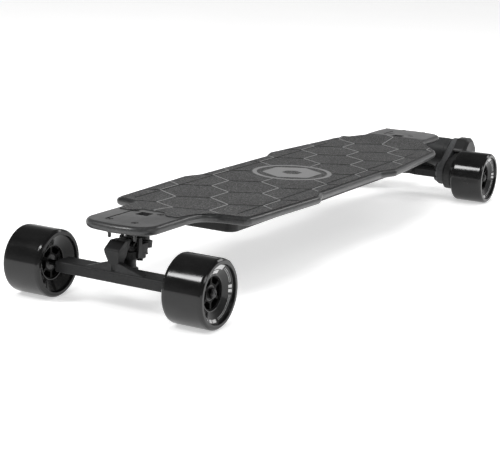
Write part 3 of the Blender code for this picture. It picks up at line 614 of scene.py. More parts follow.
def make_deck():
    outline = rounded(mirrored(DECK_CORNERS), 12)
    deck = plate([outline], DECK_BOTTOM, DECK_TOP, edge=0.0058, segments=5)
    follow_rise(deck)
    cutters = []
    for x, half_x, half_y in WINDOWS:
        window = rectangle(MIDDLE_X + x - half_x, -half_y, MIDDLE_X + x + half_x, half_y, 0.002, 4)
        cutters.append(plate([window], CLEAR_LOW, CLEAR_HIGH))
    seat = [(0, 0.002), (SEAT_R, 0.002), (SEAT_R, -SEAT_DEPTH), (HOLE_R, -SEAT_DEPTH),
            (HOLE_R, -0.03), (0, -0.03)]
    for _, x, y, top in bolt_places():
        cutters.append(turned(seat, 24, Matrix.Translation((x, y, top))))
    for end in ("front", "rear"):
        low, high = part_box(end + "_baseplate")
        recess = (low.x - GAP, -BASEPLATE_HALF, 0.05), (high.x + GAP, BASEPLATE_HALF, high.z + GAP)
        cutters.append(block(*recess))
    for x0, x1, y in GROOVES:
        groove = rectangle(MIDDLE_X + x0, y - GROOVE_HALF, MIDDLE_X + x1, y + GROOVE_HALF, 0.0012)
        cutters.append(plate([groove], (NOSE_TOP if x0 > 0 else TAIL_TOP) - GROOVE_DEPTH, CLEAR_HIGH))
    carve(deck, cutters)
    show(deck, "deck_shell", DECK, "board", ["deck"], angle=40)


def make_grip():
    outline = rounded(mirrored(GRIP_CORNERS), 8)
    low = DECK_TOP + 0.00005
    grip = follow_rise(plate([outline], low, low + GRIP_THICK, edge=0.0003, segments=2))
    show(grip, "grip_top", GRIT, "board", ["grip_sheet"], angle=40)


INK = 0.00018
HEX_EDGE = 0.0524
BADGE_CENTRE = Vector((MIDDLE_X + 0.0124, 0))
BADGE_R = 0.066
DARK_DIRECTION = 120                     # the honeycomb's edges along this direction are dark
# place of the painted crease shade on each side: its y, half-width, and tail and nose ends
CREASE_Y, CREASE_HALF = 0.088, 0.0007
CREASE_TAIL, CREASE_NOSE = -0.3, 0.345


def hex_edges(columns=5, rows=4):
    """Every edge of the honeycomb once, as (start, end, direction in degrees)."""
    edges = []
    step_x, step_y = HEX_EDGE * 1.5, HEX_EDGE * sqrt(3) / 2
    for i in range(-columns, columns + 1):
        for j in range(-rows, rows + 1):
            if (i + j) % 2:
                continue
            centre = BADGE_CENTRE + Vector((i * step_x, j * step_y))
            # Three of the six edges belong to this cell, the others to its neighbours.
            for k, direction in ((0, DARK_DIRECTION), (1, 0), (2, 60)):
                a = centre + Vector((cos(k * pi / 3), sin(k * pi / 3))) * HEX_EDGE
                b = centre + Vector((cos((k + 1) * pi / 3), sin((k + 1) * pi / 3))) * HEX_EDGE
                edges.append((a, b, direction))
    return edges


def strip(a, b, width):
    """A thin flat bar from a to b, as a four-corner outline, kept outside the badge."""
    hub = BADGE_CENTRE
    if (a - hub).length > (b - hub).length:
        a, b = b, a
    if (b - hub).length < BADGE_R:
        return None
    ahead = (b - a).normalized()
    if (a - hub).length < BADGE_R:
        a = hub + (a - hub).normalized() * (BADGE_R + 0.001)
    aside = Vector((-ahead.y, ahead.x)) * width / 2
    a, b = a + ahead * 0.0008, b - ahead * 0.0008
    return [a - aside, b - aside, b + aside, a + aside]


def lines_on_grip(name, outlines, mat, inset):
    """Flat shapes on the grip, printed lines and the painted shade of its creases, trimmed to its outline."""
    low = DECK_TOP + GRIP_THICK
    shapes = joined([plate([outline], low, low + INK + GAP) for outline in outlines])
    corners = [(x, y - inset if y else y, r) for x, y, r in GRIP_CORNERS]
    fence = plate([rounded(mirrored(corners), 4)], low - 0.01, low + 0.01)
    shapes = carve(shapes, [fence], "INTERSECT")
    show(follow_rise(shapes, 12), name, mat, "board", angle=30)


def make_lines():
    light, dark = [], []
    for a, b, direction in hex_edges():
        group, width = (dark, 0.0014) if direction == DARK_DIRECTION else (light, 0.0012)
        outline = strip(a, b, width)
        if outline:
            group.append(outline)
    lines_on_grip("honeycomb_light", light, LINE_LIGHT, 0.003)
    lines_on_grip("honeycomb_dark", dark, LINE_DARK, 0.003)
    # A crease runs along each side where the surface starts to roll over to the rail; a flat dark strip
    # paints its shade.
    for side, name in ((1, "left"), (-1, "right")):
        y = side * CREASE_Y
        painted_crease_shade = rectangle(MIDDLE_X + CREASE_TAIL, y - CREASE_HALF, MIDDLE_X + CREASE_NOSE, y + CREASE_HALF)
        lines_on_grip("crease_" + name, [painted_crease_shade], LINE_DARK, 0.002)


def make_badge():
    """A plain ring round a plain hexagon."""
    low = DECK_TOP + GRIP_THICK
    at = BADGE_CENTRE.x
    ring = plate([circle(BADGE_R, 96, at), circle(0.059, 96, at)], low, low + 0.0003)
    core = plate([rounded([(p.x, p.y, 0.006) for p in circle(0.05, 6, at)], 5),
                  rounded([(p.x, p.y, 0.003) for p in circle(0.017, 6, at)], 5)], low, low + 0.0003)
    show(joined([ring, core]), "badge", BADGE, "board")


def hex_hole(radius, low, high):
    """A hexagonal cutter for a screw's socket."""
    return plate([circle(radius, 6)], low, high)


def make_bolts():
    """Countersunk deck bolts with a hexagon socket, and a lock nut below."""
    for name, x, y, top in bolt_places():
        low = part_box(name)[0].z
        nut_top = low + BOLT_END
        head = top - 0.0002
        shank = [(0, head), (BOLT_R, head, 0.0004), (BOLT_R, head - 0.001, 0.0002), (0.0024, head - 0.0028),
                 (0.0024, low + 0.0006), (0.0018, low), (0, low)]
        bolt = turned(shank, 28)
        carve(bolt, [hex_hole(0.0016, head - 0.0018, head + 0.002)])
        nut = plate([circle(0.0045, 6)], nut_top - 0.0045, nut_top, edge=0.0004)
        collar = turned([(0, nut_top - 0.004), (0.0036, nut_top - 0.004), (0.0036, nut_top - 0.0056, 0.0006),
                         (0, nut_top - 0.0056)], 24)
        bolt = placed(joined([bolt, nut, collar]), Matrix.Translation((x, y, 0)))
        show(bolt, name + "_fine", COATED, "board", [name])


# ---- enclosure ----------------------------------------------------------
PAN_WALL = 0.0022
PAN_SCREWS = 8


def loft(rings, closed=False):
    """Skin rings of equal length; the first ring is capped, and the last too if closed."""
    bm = bmesh.new()
    rows = [[bm.verts.new(point) for point in ring] for ring in rings]
    bm.faces.new(rows[0])
    if closed:
        bm.faces.new(rows[-1])
    count = len(rows[0])
    for low, high in zip(rows, rows[1:]):
        for k in range(count):
            bm.faces.new((low[k], low[(k + 1) % count], high[(k + 1) % count], high[k]))
    bmesh.ops.recalc_face_normals(bm, faces=bm.faces)
    return mesh_object(bm)


def make_enclosure():
    """A pan with rolled edges, open to the deck, with holes for the button and the charge port."""
    low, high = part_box("battery_enclosure")
    bottom, top = low.z, high.z

    def ring(inset, z):
        outline = rectangle(low.x + inset, inset - high.y, high.x - inset, high.y - inset, 0.015, 10)
        return [Vector((p.x, p.y, z)) for p in outline]

    rings = [ring(0.0085, bottom)]
    for k in range(7):
        angle = pi / 2 * k / 6
        rings.append(ring(0.0078 - 0.0038 * sin(angle), bottom + 0.0042 * (1 - cos(angle))))
    rings += [ring(0.0012, top - 0.009), ring(0.001, top - 0.0072), ring(0.0, top - 0.0066), ring(0.0, top)]
    pan = loft(rings)
    wall = pan.modifiers.new("wall", "SOLIDIFY")
    wall.thickness = PAN_WALL
    wall.offset = -1
    wall.use_even_offset = True
    cutters = []
    for node, radius in (("power_button", 0.0063), ("charge_port", 0.0068)):
        at = middle(node)
        cutters.append(rod(radius, 0.01, -0.01, 32, along_y(at.x, low.y, at.z)))
    # Shallow grooves along the underside.
    for k in range(-4, 5):
        y = k * 0.011
        groove = rectangle(low.x + 0.045, y - 0.0012, high.x - 0.045, y + 0.0012, 0.0011)
        cutters.append(plate([groove], bottom - 0.005, bottom + 0.0009))
    carve(pan, cutters)
    show(pan, "enclosure_shell", PAN, "board", ["battery_enclosure"])
    make_gasket(low, high)
    make_pan_screws(low, high)


def make_gasket(low, high):
    """A thin seal between the pan's rim and the deck."""
    seal_z = high.z + 0.00005
    seal = plate([rectangle(low.x + inset, low.y + inset, high.x - inset, high.y - inset, radius, 10)
                  for inset, radius in ((0.0006, 0.0145), (0.004, 0.011))], seal_z, seal_z + 0.0002)
    show(seal, "enclosure_gasket", GASKET, "board")


def make_pan_screws(low, high):
    """Two rows of socket screws along the underside."""
    screws = []
    bottom, margin = low.z, 0.03
    for k in range(PAN_SCREWS):
        x = low.x + margin + (high.x - low.x - 2 * margin) * k / (PAN_SCREWS - 1)
        for y_side in (-1, 1):
            head = turned([(0, bottom - 0.0001), (0.0022, bottom - 0.0001, 0.0004), (0.003, bottom + 0.0012),
                           (0, bottom + 0.0012)], 20)
            carve(head, [hex_hole(0.0011, bottom - 0.01, bottom + 0.0006)])
            screws.append(placed(head, Matrix.Translation((x, y_side * 0.0505, 0))))
    show(joined(screws), "enclosure_screws", COATED, "board")


def on_side(node):
    """The place of a control's outer face, in the pan's right side."""
    at = middle(node)
    return along_y(at.x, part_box(node)[0].y, at.z)


def make_controls():
    """The power button, with its collar, and the charge socket."""
    cap = [(0, 0.0135), (0.0075, 0.0135), (0.0075, 0.0115), (0.006, 0.0115, 0.0002), (0.006, 0.0, 0.0007),
           (0.0045, 0.0, 0.0003), (0.004, 0.0005, 0.0003), (0, 0.0005)]
    show(turned(cap, 40, on_side("power_button")), "power_button_cap", KEY, "power_button", ["power_button"])
    port = [(0.003, 0.016), (0.0065, 0.016, 0.0004), (0.0065, 0.0, 0.0006), (0.005, 0.0, 0.0003),
            (0.005, 0.01), (0.003, 0.01)]
    show(turned(port, 40, on_side("charge_port")), "charge_port_shell", SEAL, "board", ["charge_port"])


# ---- wheels -------------------------------------------------------------
CORE_R = 0.0232
CORE_HALF = 0.017
AXLE_THREADS = 9
BEARING_R = 0.011
DISH = [(0.025, 0.0196), (0.04, 0.0268)]       # the dished face's inner and outer edges


def dish_height(radius):
    (r0, h0), (r1, h1) = DISH
    return h0 + (h1 - h0) * (radius - r0) / (r1 - r0)


def arc_print(inner, outer, start, sweep):
    """A thin printed band on the dish between two radii, over an arc in degrees."""
    steps = max(4, int(abs(sweep) / 3))
    bm = bmesh.new()
    rows = []
    for k in range(steps + 1):
        angle = radians(start + sweep * k / steps)
        row = []
        for radius in (inner, outer):
            for height in (0.00012, -GAP):
                row.append(bm.verts.new((radius * cos(angle), radius * sin(angle),
                                         dish_height(radius) + height)))
        rows.append(row)
    loop = (0, 2, 3, 1)
    for a, b in zip(rows, rows[1:]):
        for i, j in zip(loop, loop[1:] + loop[:1]):
            bm.faces.new((a[i], a[j], b[j], b[i]))
    for row in (rows[0], rows[-1]):
        bm.faces.new([row[i] for i in loop])
    bmesh.ops.recalc_face_normals(bm, faces=bm.faces)
    return mesh_object(bm)


def make_wheel(label, truck, side):
    body = label + "_wheel"
    axle_x = FRONT_X if truck == "front" else REAR_X
    out = along_y(axle_x, side * WHEEL_Y, AXLE_Z, side)
    half = WHEEL_HALF
    inner = CORE_R + 0.0001
    face = [(inner, 0.0178, 0.0003), (0.0236, 0.0196, 0.0003), (*DISH[0], 0.001), (*DISH[1], 0.001),
            (0.0409, half, 0.0006), (0.0455, half, 0.0014), (0.0479, half - 0.0024, 0.0014),
            (WHEEL_R, half - 0.0056, 0.003)]
    tyre = face + [(r, -h, rounding) for r, h, rounding in reversed(face)]
    show(turned(tyre, 128, out, 5), label + "_tyre_fine", URETHANE, body, [label + "_tyre"], angle=25)
    make_prints(label, body, out, side)
    make_core(label, body, out)
    make_bearings(label, body, out)


# Bands on the dish: inner and outer radius, then start and sweep in degrees.
SHORT_BANDS = [(0.0268, 0.0318, 50, 25), (0.0268, 0.0318, 81, 25), (0.0332, 0.0392, 42, 35),
               (0.0332, 0.0392, 82, 35), (0.0335, 0.0385, 172, 7), (0.0335, 0.0385, 182, 7),
               (0.0345, 0.0385, 268, 14), (0.0345, 0.0385, 285, 10)]
LONG_LINES = [(radius, radius + 0.0003, start, sweep) for start, sweep in ((122, 44), (194, 66), (300, 96))
              for radius in (0.035, 0.0368)]


def make_prints(label, body, out, side):
    """Plain arcs round the dished face: angles run from the tail side up over the top."""
    pieces = [arc_print(inner, outer, -side * start, -side * sweep)
              for inner, outer, start, sweep in SHORT_BANDS + LONG_LINES]
    show(placed(joined(pieces), out), label + "_print", PRINT, body)


def make_core(label, body, out):
    """Nylon core: hub and rim tied by six slim spokes."""
    pocket = [(0.013, -0.0052, 0.0012), (0.0206, -0.0093, 0.0014), (0.0216, 0, 0),
              (0.0206, 0.0093, 0.0014), (0.013, 0.0052, 0.0012)]
    holes = [[Matrix.Rotation(k * pi / 3, 2) @ p for p in rounded(pocket, 4)] for k in range(6)]
    body_plate = plate([circle(CORE_R, 72), circle(BEARING_R + 0.0001, 48)] + holes, -CORE_HALF, CORE_HALF,
                       edge=0.0005)
    lip = turned([(0.0216, CORE_HALF - 0.001), (0.0219, CORE_HALF + 0.0012, 0.0003),
                  (CORE_R, CORE_HALF + 0.0012, 0.0004), (CORE_R, CORE_HALF - 0.001)], 72)
    show(placed(joined([body_plate, lip]), out), label + "_core_fine", CORE, body, [label + "_core"])


def make_bearings(label, body, out):
    """A sealed bearing in each face of the core, with the spacer between."""
    face = CORE_HALF - 0.0005
    bore = AXLE_R + 0.0002
    half = [(bore, face, 0.0002), (0.006, face, 0.0003), (0.0062, face - 0.0005), (0.009, face - 0.0005),
            (0.0092, face, 0.0002), (BEARING_R - 0.0001, face, 0.0004)]
    other = [(p[0], -p[1], *p[2:]) for p in reversed(half)]
    inside = [(BEARING_R - 0.0001, face - 0.007), (0.006, face - 0.007), (0.006, -face + 0.007),
              (BEARING_R - 0.0001, -face + 0.007)]
    bearings = turned(half + inside + other, 48, out)
    show(bearings, label + "_bearings_fine", BRIGHT, body, [label + "_bearings"])
    seal = turned([(0.0063, face - 0.0006), (0.0063, face - 0.0002, 0.0001), (0.0089, face - 0.0002, 0.0001),
                   (0.0089, face - 0.0006)], 48, out)
    show(seal, label + "_bearing_seal", SEAL, body)


def make_axle(truck):
    """Axle rod with a nut, its nylon ring and a few turns of bare thread at each end."""
    axle_x = middle(truck + "_axle").x
    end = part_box(truck + "_axle")[1].y
    nut = end - 0.0072
    pieces = [rod(AXLE_R, nut, -nut, 40, along_y(axle_x, 0, AXLE_Z))]
    for side in (1, -1):
        out = along_y(axle_x, 0, AXLE_Z, side)
        ridges = [(0, nut - 0.002), (AXLE_R - 0.0003, nut - 0.002)]
        pitch = (end - 0.0004 - nut) / AXLE_THREADS
        for k in range(AXLE_THREADS):
            ridges += [(AXLE_R, nut + (k + 0.35) * pitch), (AXLE_R - 0.0005, nut + (k + 0.85) * pitch)]
        ridges += [(AXLE_R - 0.0009, end), (0.0018, end, 0.0002), (0.0014, end - 0.0012), (0, end - 0.0012)]
        pieces.append(turned(ridges, 32, out))
        hexagon = plate([circle(0.0074, 6), circle(AXLE_R - 0.0003, 24)], nut, nut + 0.0046, edge=0.0005)
        pieces.append(placed(hexagon, out))
        pieces.append(turned([(AXLE_R - 0.0003, nut + 0.004), (0.0058, nut + 0.004),
                              (0.0055, nut + 0.006, 0.0007), (AXLE_R - 0.0003, nut + 0.006)], 40, out))
    show(joined(pieces), truck + "_axle_fine", COATED, truck + "_hanger", [truck + "_axle"])


# ---- trucks -------------------------------------------------------------
KINGPIN_TILT = radians(8)
WASHER = 0.0016
KINGPIN_THREADS = 5


class Truck:
    """Places of one truck; u points outboard from its axle."""

    def __init__(self, name):
        self.name = name
        self.side = 1 if name == "front" else -1
        self.x = FRONT_X if name == "front" else REAR_X
        self.frame = Matrix.Translation((self.x, 0, 0)) @ Matrix.Rotation(0 if self.side > 0 else pi, 4, "Z")
        base, hanger = pivot(name + "_base_pivot"), pivot(name + "_hanger_pivot")
        self.pin_1 = Vector(((base.x - self.x) * self.side, 0, base.z))
        self.pin_2 = Vector(((hanger.x - self.x) * self.side, 0, hanger.z))
        self.tilted = Matrix.Translation(self.pin_1) @ Matrix.Rotation(-KINGPIN_TILT, 4, "Y")
        self.upright = Matrix.Translation(self.pin_2)

    def show(self, obj, node, mat, body):
        """Show the fine piece that replaces one of the truck's nodes."""
        name = self.name + "_" + node
        return show(placed(obj, self.frame), name + "_fine", mat,
                    body if body == "board" else self.name + "_" + body, [name])


def hex_nut(radius, low, high, matrix, washer_r=None):
    """A chamfered hexagon nut with a nylon ring, and a washer above it."""
    nut_top = high - (WASHER if washer_r else 0)
    nut = plate([circle(radius, 6, phase=pi / 6)], low + 0.0014, nut_top, edge=0.0005)
    pieces = [placed(nut, matrix), turned([(0, low + 0.002), (radius * 0.8, low + 0.002),
                                           (radius * 0.76, low, 0.0006), (0, low)], 32, matrix)]
    if washer_r:
        pieces.append(turned([(0, high), (washer_r, high, 0.0004), (washer_r, high - WASHER, 0.0004),
                              (0, high - WASHER)], 40, matrix))
    return pieces


def threaded(radius, high, low, matrix):
    """The bare end of a thread, as a few ridges."""
    ridges = [(0, high), (radius, high)]
    pitch = (high - low) / KINGPIN_THREADS
    for k in range(KINGPIN_THREADS):
        ridges += [(radius - 0.0005, high - (k + 0.5) * pitch), (radius, high - (k + 0.95) * pitch)]
    ridges += [(radius - 0.0011, low), (0, low)]
    return turned(ridges, 32, matrix)


def make_kingpins(truck):
    one = truck.tilted
    head = turned([(0, 0.0295), (0.0096, 0.0295, 0.001), (0.0096, 0.0273), (0.005, 0.0273), (0.005, -0.02),
                   (0, -0.02)], 40, one)
    carve(head, [placed(hex_hole(0.0046, 0.028, 0.032), one)])
    pieces = [head] + hex_nut(0.0094, -0.0212, -0.013, one, 0.0112) + [threaded(0.0049, -0.02, -0.0245, one)]
    truck.show(joined(pieces), "base_kingpin", COATED, "board")
    two = truck.upright
    top = turned([(0, 0.0255), (0.008, 0.0255, 0.001), (0.008, 0.0214), (0.005, 0.0214), (0.005, -0.026),
                  (0, -0.026)], 40, two)
    carve(top, [placed(hex_hole(0.004, 0.023, 0.027), two)])
    cup = turned([(0, -0.0197), (0.0126, -0.0197, 0.0006), (0.013, -0.0216, 0.0006), (0.011, -0.023, 0.0004),
                  (0, -0.023)], 48, two)
    pieces = [top, cup] + hex_nut(0.0094, -0.0282, -0.023, two) + [threaded(0.0049, -0.026, -0.03, two)]
    truck.show(joined(pieces), "hanger_kingpin", COATED, "hanger")


def bushing(low, high, radius, matrix):
    """A barrel cushion with a slight waist and soft edges."""
    bore = 0.0052
    return turned([(bore, high), (radius, high, 0.0009), (radius - 0.0007, (low + high) / 2, 0.003),
                   (radius, low, 0.0009), (bore, low)], 48, matrix, 4)


# Joint, low and high ends along its kingpin, radius, the end that stays put, share kept when squeezed.
BUSHINGS = {"base_bushing_upper": ("base", 0.0051, 0.015, 0.0115, 0.015, 0.76),
            "base_bushing_lower": ("base", -0.0127, -0.0051, 0.0105, -0.0127, 0.7),
            "hanger_bushing_upper": ("hanger", 0.0053, 0.0128, 0.0105, 0.0128, 0.7),
            "hanger_bushing_lower": ("hanger", -0.0194, -0.0053, 0.01, -0.0194, 0.84)}


def make_bushings(truck):
    """Cushions round both kingpins."""
    for name, (joint, low, high, radius, fixed, kept) in BUSHINGS.items():
        local, body = (truck.tilted, "board") if joint == "base" else (truck.upright, "hanger")
        obj = truck.show(bushing(low, high, radius, local), name, BUSHING, body)
        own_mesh(obj)


# Outlines in (u, z, radius): u points outboard from the axle.
BAR = [(-0.02, 0.04, 0.0025), (0.014, 0.04, 0.0025), (0.014, 0.056, 0.0035), (-0.02, 0.056, 0.003)]
NECK = [(0.0005, 0.05, 0.0), (0.0098, 0.05, 0.0), (0.0112, 0.064, 0.02), (0.018, 0.087, 0.0035),
        (0.003, 0.0975, 0.0045), (-0.034, 0.0965, 0.004), (-0.0372, 0.0865, 0.001), (-0.008, 0.0865, 0.01),
        (-0.001, 0.07, 0.006)]
FOOT_Z, FOOT_HALF, FLARE, NECK_HALF = 0.056, 0.0052, 0.28, 0.0122
SHOULDER_HALF, ARCH_HALF = 0.011, 0.0084      # either side of the taper that clears the link
TAPER_START, TAPER_END = -0.01, -0.017
NECK_CUTS = [((0, 0, 0.05 + 0.003 * k), (0, 0, 1)) for k in range(15)]
NECK_CUTS += [((u, 0, 0), (1, 0, 0)) for u in (TAPER_END, -0.0135, TAPER_START, -0.006, -0.003, 0.0)]
GUSSET_HALF, GUSSET_TOP, GUSSET_FRONT = 0.047, 0.07, 0.0118


def neck_half(u, z):
    """Half-width of the neck: narrow at its foot, straight along the arch."""
    post = min(FOOT_HALF + FLARE * max(z - FOOT_Z, 0), NECK_HALF)
    taper = min(max((u - TAPER_START) / (TAPER_END - TAPER_START), 0), 1)
    arch = SHOULDER_HALF + (ARCH_HALF - SHOULDER_HALF) * taper
    share = min(max((u + 0.006) / 0.006, 0), 1)
    return arch + (post - arch) * share


def round_edges(bm, width, segments=3):
    """Bevel the edges between faces that meet at more than 35 degrees."""
    sharp = [e for e in bm.edges if len(e.link_faces) == 2 and e.calc_face_angle(0) > radians(35)]
    bmesh.ops.bevel(bm, geom=sharp, offset=width, segments=segments, profile=0.5, affect="EDGES")


def make_neck():
    neck = in_xz([rounded(NECK, 6)], -0.01, 0.01)
    bm = bmesh.new()
    bm.from_mesh(neck.data)
    bpy.data.objects.remove(neck, do_unlink=True)
    for place, normal in NECK_CUTS:
        bmesh.ops.bisect_plane(bm, geom=bm.verts[:] + bm.edges[:] + bm.faces[:], dist=1e-7, plane_co=place,
                               plane_no=normal)
    for vert in bm.verts:
        vert.co.y = neck_half(vert.co.x, vert.co.z) * (1 if vert.co.y > 0 else -1)
    round_edges(bm, 0.0011)
    return mesh_object(bm)


def gusset(side):
    """A sloping web from the neck out to the bar."""
    bm = bmesh.new()
    ends = [(0.003, GUSSET_TOP), (GUSSET_HALF, 0.0566)]
    corners = [bm.verts.new((u, side * y, z)) for y, high in ends for u in (0.002, GUSSET_FRONT)
               for z in (0.052, high)]
    bmesh.ops.convex_hull(bm, input=corners)
    bmesh.ops.dissolve_limit(bm, angle_limit=radians(1), verts=bm.verts, edges=bm.edges)
    bmesh.ops.recalc_face_normals(bm, faces=bm.faces)
    round_edges(bm, 0.0006, 2)
    return mesh_object(bm)


def make_hanger(truck):
    """Bar, waisted neck with its arch over the kingpin, and two sloping gussets."""
    bar_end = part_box(truck.name + "_hanger")[1].y
    bar = in_xz([rounded(BAR, 5)], -bar_end, bar_end, edge=0.001, segments=3)
    pin = truck.upright
    carve(bar, [rod(0.0135, -0.017, -0.04, 48, pin)])
    neck = make_neck()
    recess = rod(0.0082, 0.03, 0.0211, 40, pin)
    hole = rod(0.0052, 0.03, 0.0, 32, pin)
    arcs = []
    for side in (1, -1):
        rim = [Vector((-0.0265 + r * cos(radians(a)), 0.08 + r * sin(radians(a))))
               for r, sweep in ((0.0138, range(38, 146, 6)), (0.0118, range(140, 34, -6))) for a in sweep]
        arcs.append(in_xz([rim], side * (ARCH_HALF - 0.001), side * (ARCH_HALF + 0.005)))
    carve(neck, [recess, hole] + arcs)
    truck.show(joined([bar, neck, gusset(1), gusset(-1)]), "hanger", FORGING, "hanger")


def finish_node(name, mat, width):
    """Keep a CAD node's own mesh, with softened edges and a proper finish."""
    obj = frame["nodes"][name]
    for slot in obj.material_slots:
        slot.material = mat
    if not obj.material_slots:
        obj.data.materials.append(mat)
    merge = obj.modifiers.new("merge", "WELD")
    merge.merge_threshold = 0.00001
    flats = obj.modifiers.new("flats", "DECIMATE")
    flats.decimate_type = "DISSOLVE"
    flats.angle_limit = radians(1.0)
    soften(obj, width)
    weigh_normals(obj)


def make_truck(name):
    truck = Truck(name)
    make_kingpins(truck)
    make_bushings(truck)
    make_axle(name)
    finish_node(name + "_baseplate", FORGING, 0.0007)
    finish_node(name + "_link", FORGING, 0.0007)
    make_hanger(truck)
    for hand, side in (("left", 1), ("right", -1)):
        make_wheel(name + "_" + hand, name, side)
    return truck


# ---- belt drive ---------------------------------------------------------
WHEEL_TEETH, MOTOR_TEETH, PITCH = 34, 14, 0.005
WHEEL_PULLEY_R = WHEEL_TEETH * PITCH / (2 * pi)
MOTOR_PULLEY_R = MOTOR_TEETH * PITCH / (2 * pi)
TOOTH = 0.0012


def toothed(teeth, radius, phase=0.0):
    """A pulley's outline: rounded teeth with narrow grooves."""
    points = []
    for k in range(teeth):
        for share, depth in ((0.0, 0.0), (0.42, 0.0), (0.54, 1.0), (0.88, 1.0)):
            angle = 2 * pi * (k + share) / teeth + phase
            r = radius - depth * TOOTH
            points.append(Vector((r * cos(angle), r * sin(angle))))
    return points


def wrapped(first, first_r, second, second_r, steps=40):
    """A taut outline round two circles in (x, z)."""
    reach = second - first
    lean = atan2(reach.y, reach.x)
    spread = acos((first_r - second_r) / reach.length)
    points = []
    for centre, radius, start, sweep, count in ((first, first_r, lean + spread, 2 * (pi - spread), steps),
                                                (second, second_r, lean - spread, 2 * spread, steps // 2)):
        points += [centre + Vector((cos(start + sweep * k / count), sin(start + sweep * k / count))) * radius
                   for k in range(count + 1)]
    return points


def belt_outlines(motor):
    """Outer loop, and inner loop with its teeth, round both pulleys in (x, z)."""
    wheel = Vector((REAR_X, AXLE_Z))

    def loop(margin):
        return wrapped(wheel, WHEEL_PULLEY_R + margin, motor, MOTOR_PULLEY_R + margin)

    outer = loop(0.0026)
    plain = loop(0.001)
    # Walk the inner loop and dip towards the pulleys at every pitch.
    lengths = [(b - a).length for a, b in zip(plain, plain[1:] + plain[:1])]
    total = sum(lengths)
    teeth = round(total / PITCH)
    stations = [((k + share) * total / teeth, depth) for k in range(teeth)
                for share, depth in ((0, 0), (0.3, 0), (0.42, 1), (0.78, 1))]
    inner = []
    walked, i = 0.0, 0
    for place, depth in stations:
        while walked + lengths[i] < place:
            walked += lengths[i]
            i += 1
        a, b = plain[i], plain[(i + 1) % len(plain)]
        point = a.lerp(b, (place - walked) / lengths[i])
        ahead = (b - a).normalized()
        inward = Vector((-ahead.y, ahead.x))
        inner.append(point + inward * depth * TOOTH * 0.8)
    return outer, inner


def make_drive(hand, side):
    label = "rear_" + hand
    motor_at = middle(label + "_motor")
    motor = Vector((motor_at.x, motor_at.z))
    make_motor(label, side, motor_at)
    make_mount(label, side, motor)
    make_mount_bolts(label, side, motor_at)
    belt_span = span(label + "_belt")
    make_wheel_pulley(label, side, *belt_span)
    make_motor_pulley(label, side, motor_at, *belt_span)
    low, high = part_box(label + "_belt")
    outer, inner = belt_outlines(motor)
    belt = in_xz([outer, inner], low.y, high.y)
    show(belt, label + "_belt_fine", BELT, "rear_hanger", [label + "_belt"], angle=50)
    make_cover(label, side, motor_at)


def make_motor(label, side, at):
    """Smooth can with a band, end bell with cooling windows and a stepped rear."""
    low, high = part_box(label + "_motor")
    length = high.y - low.y
    inner = low.y if side > 0 else high.y
    place = along_y(at.x, inner, at.z, side)
    radius = (high.x - low.x) / 2
    step = radius - 0.0005
    can = turned([(0.0034, length), (radius - 0.0045, length, 0.0004), (step, length - 0.003, 0.002),
                  (step, length - 0.011, 0.0003), (radius, length - 0.0113, 0.0003), (radius, 0.012, 0.0004),
                  (radius - 0.0006, 0.0116, 0.0003), (radius - 0.0006, 0.004, 0.003),
                  (radius - 0.006, 0.0, 0.002), (0.012, 0.0, 0.0006), (0.011, 0.0018), (0.0034, 0.0018)], 96)
    window = rounded([(0.0145, -0.0042, 0.0016), (0.0235, -0.0062, 0.002), (0.0235, 0.0062, 0.002),
                      (0.0145, 0.0042, 0.0016)], 3)
    slots = [plate([window], -0.002, 0.005, Matrix.Rotation(k * pi / 4, 4, "Z")) for k in range(8)]
    carve(can, slots)
    show(placed(can, place), label + "_motor_fine", MOTOR, "rear_hanger", [label + "_motor"])


MOUNT_FOOT_R, MOUNT_HEAD_R = 0.0228, 0.0318


def make_mount(label, side, motor):
    """A plate round the bar's end and the motor's face, with stepped collars at its foot."""
    low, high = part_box(label + "_motor_mount")
    wheel = Vector((REAR_X, AXLE_Z))
    outline = wrapped(wheel, MOUNT_FOOT_R, motor, MOUNT_HEAD_R)
    pilot = [motor + p for p in circle(0.0135, 40)]
    bore = [wheel + p for p in circle(AXLE_R + 0.0003, 24)]
    mount = in_xz([outline, pilot, bore], low.y, high.y, edge=0.0012, segments=3)
    inner = min(abs(low.y), abs(high.y))
    out = along_y(REAR_X, 0, AXLE_Z, side)
    bore_r = AXLE_R + GAP
    collar = turned([(bore_r, inner + 0.001), (0.0205, inner + 0.001), (0.0205, inner - 0.004, 0.0008),
                     (0.018, inner - 0.004, 0.0004), (0.018, inner - 0.0085, 0.0008),
                     (bore_r, inner - 0.0085)], 64, out)
    show(joined([mount, collar]), label + "_motor_mount_fine", MOUNT, "rear_hanger", [label + "_motor_mount"])


def make_mount_bolts(label, side, at):
    """Four cap screws that hold the motor, and two that clamp the plate to the bar."""
    low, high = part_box(label + "_motor_mount")
    face = high.y if side > 0 else low.y
    places = circle(0.019, 4, at.x, at.z, pi / 4)
    places += [(REAR_X + 0.012, AXLE_Z + 0.012), (REAR_X + 0.006, AXLE_Z - 0.016)]
    screws = []
    for x, z in places:
        out = along_y(x, face, z, side)
        head = turned([(0, 0.0026), (0.0031, 0.0026, 0.0006), (0.0031, -0.0006), (0, -0.0006)], 28)
        carve(head, [hex_hole(0.0015, 0.001, 0.004)])
        screws.append(placed(head, out))
    show(joined(screws), label + "_mount_screws", COATED, "rear_hanger")


def span(node):
    """How far a node reaches from the board's middle: its near and far distance in y."""
    low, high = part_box(node)
    return sorted((abs(low.y), abs(high.y)))


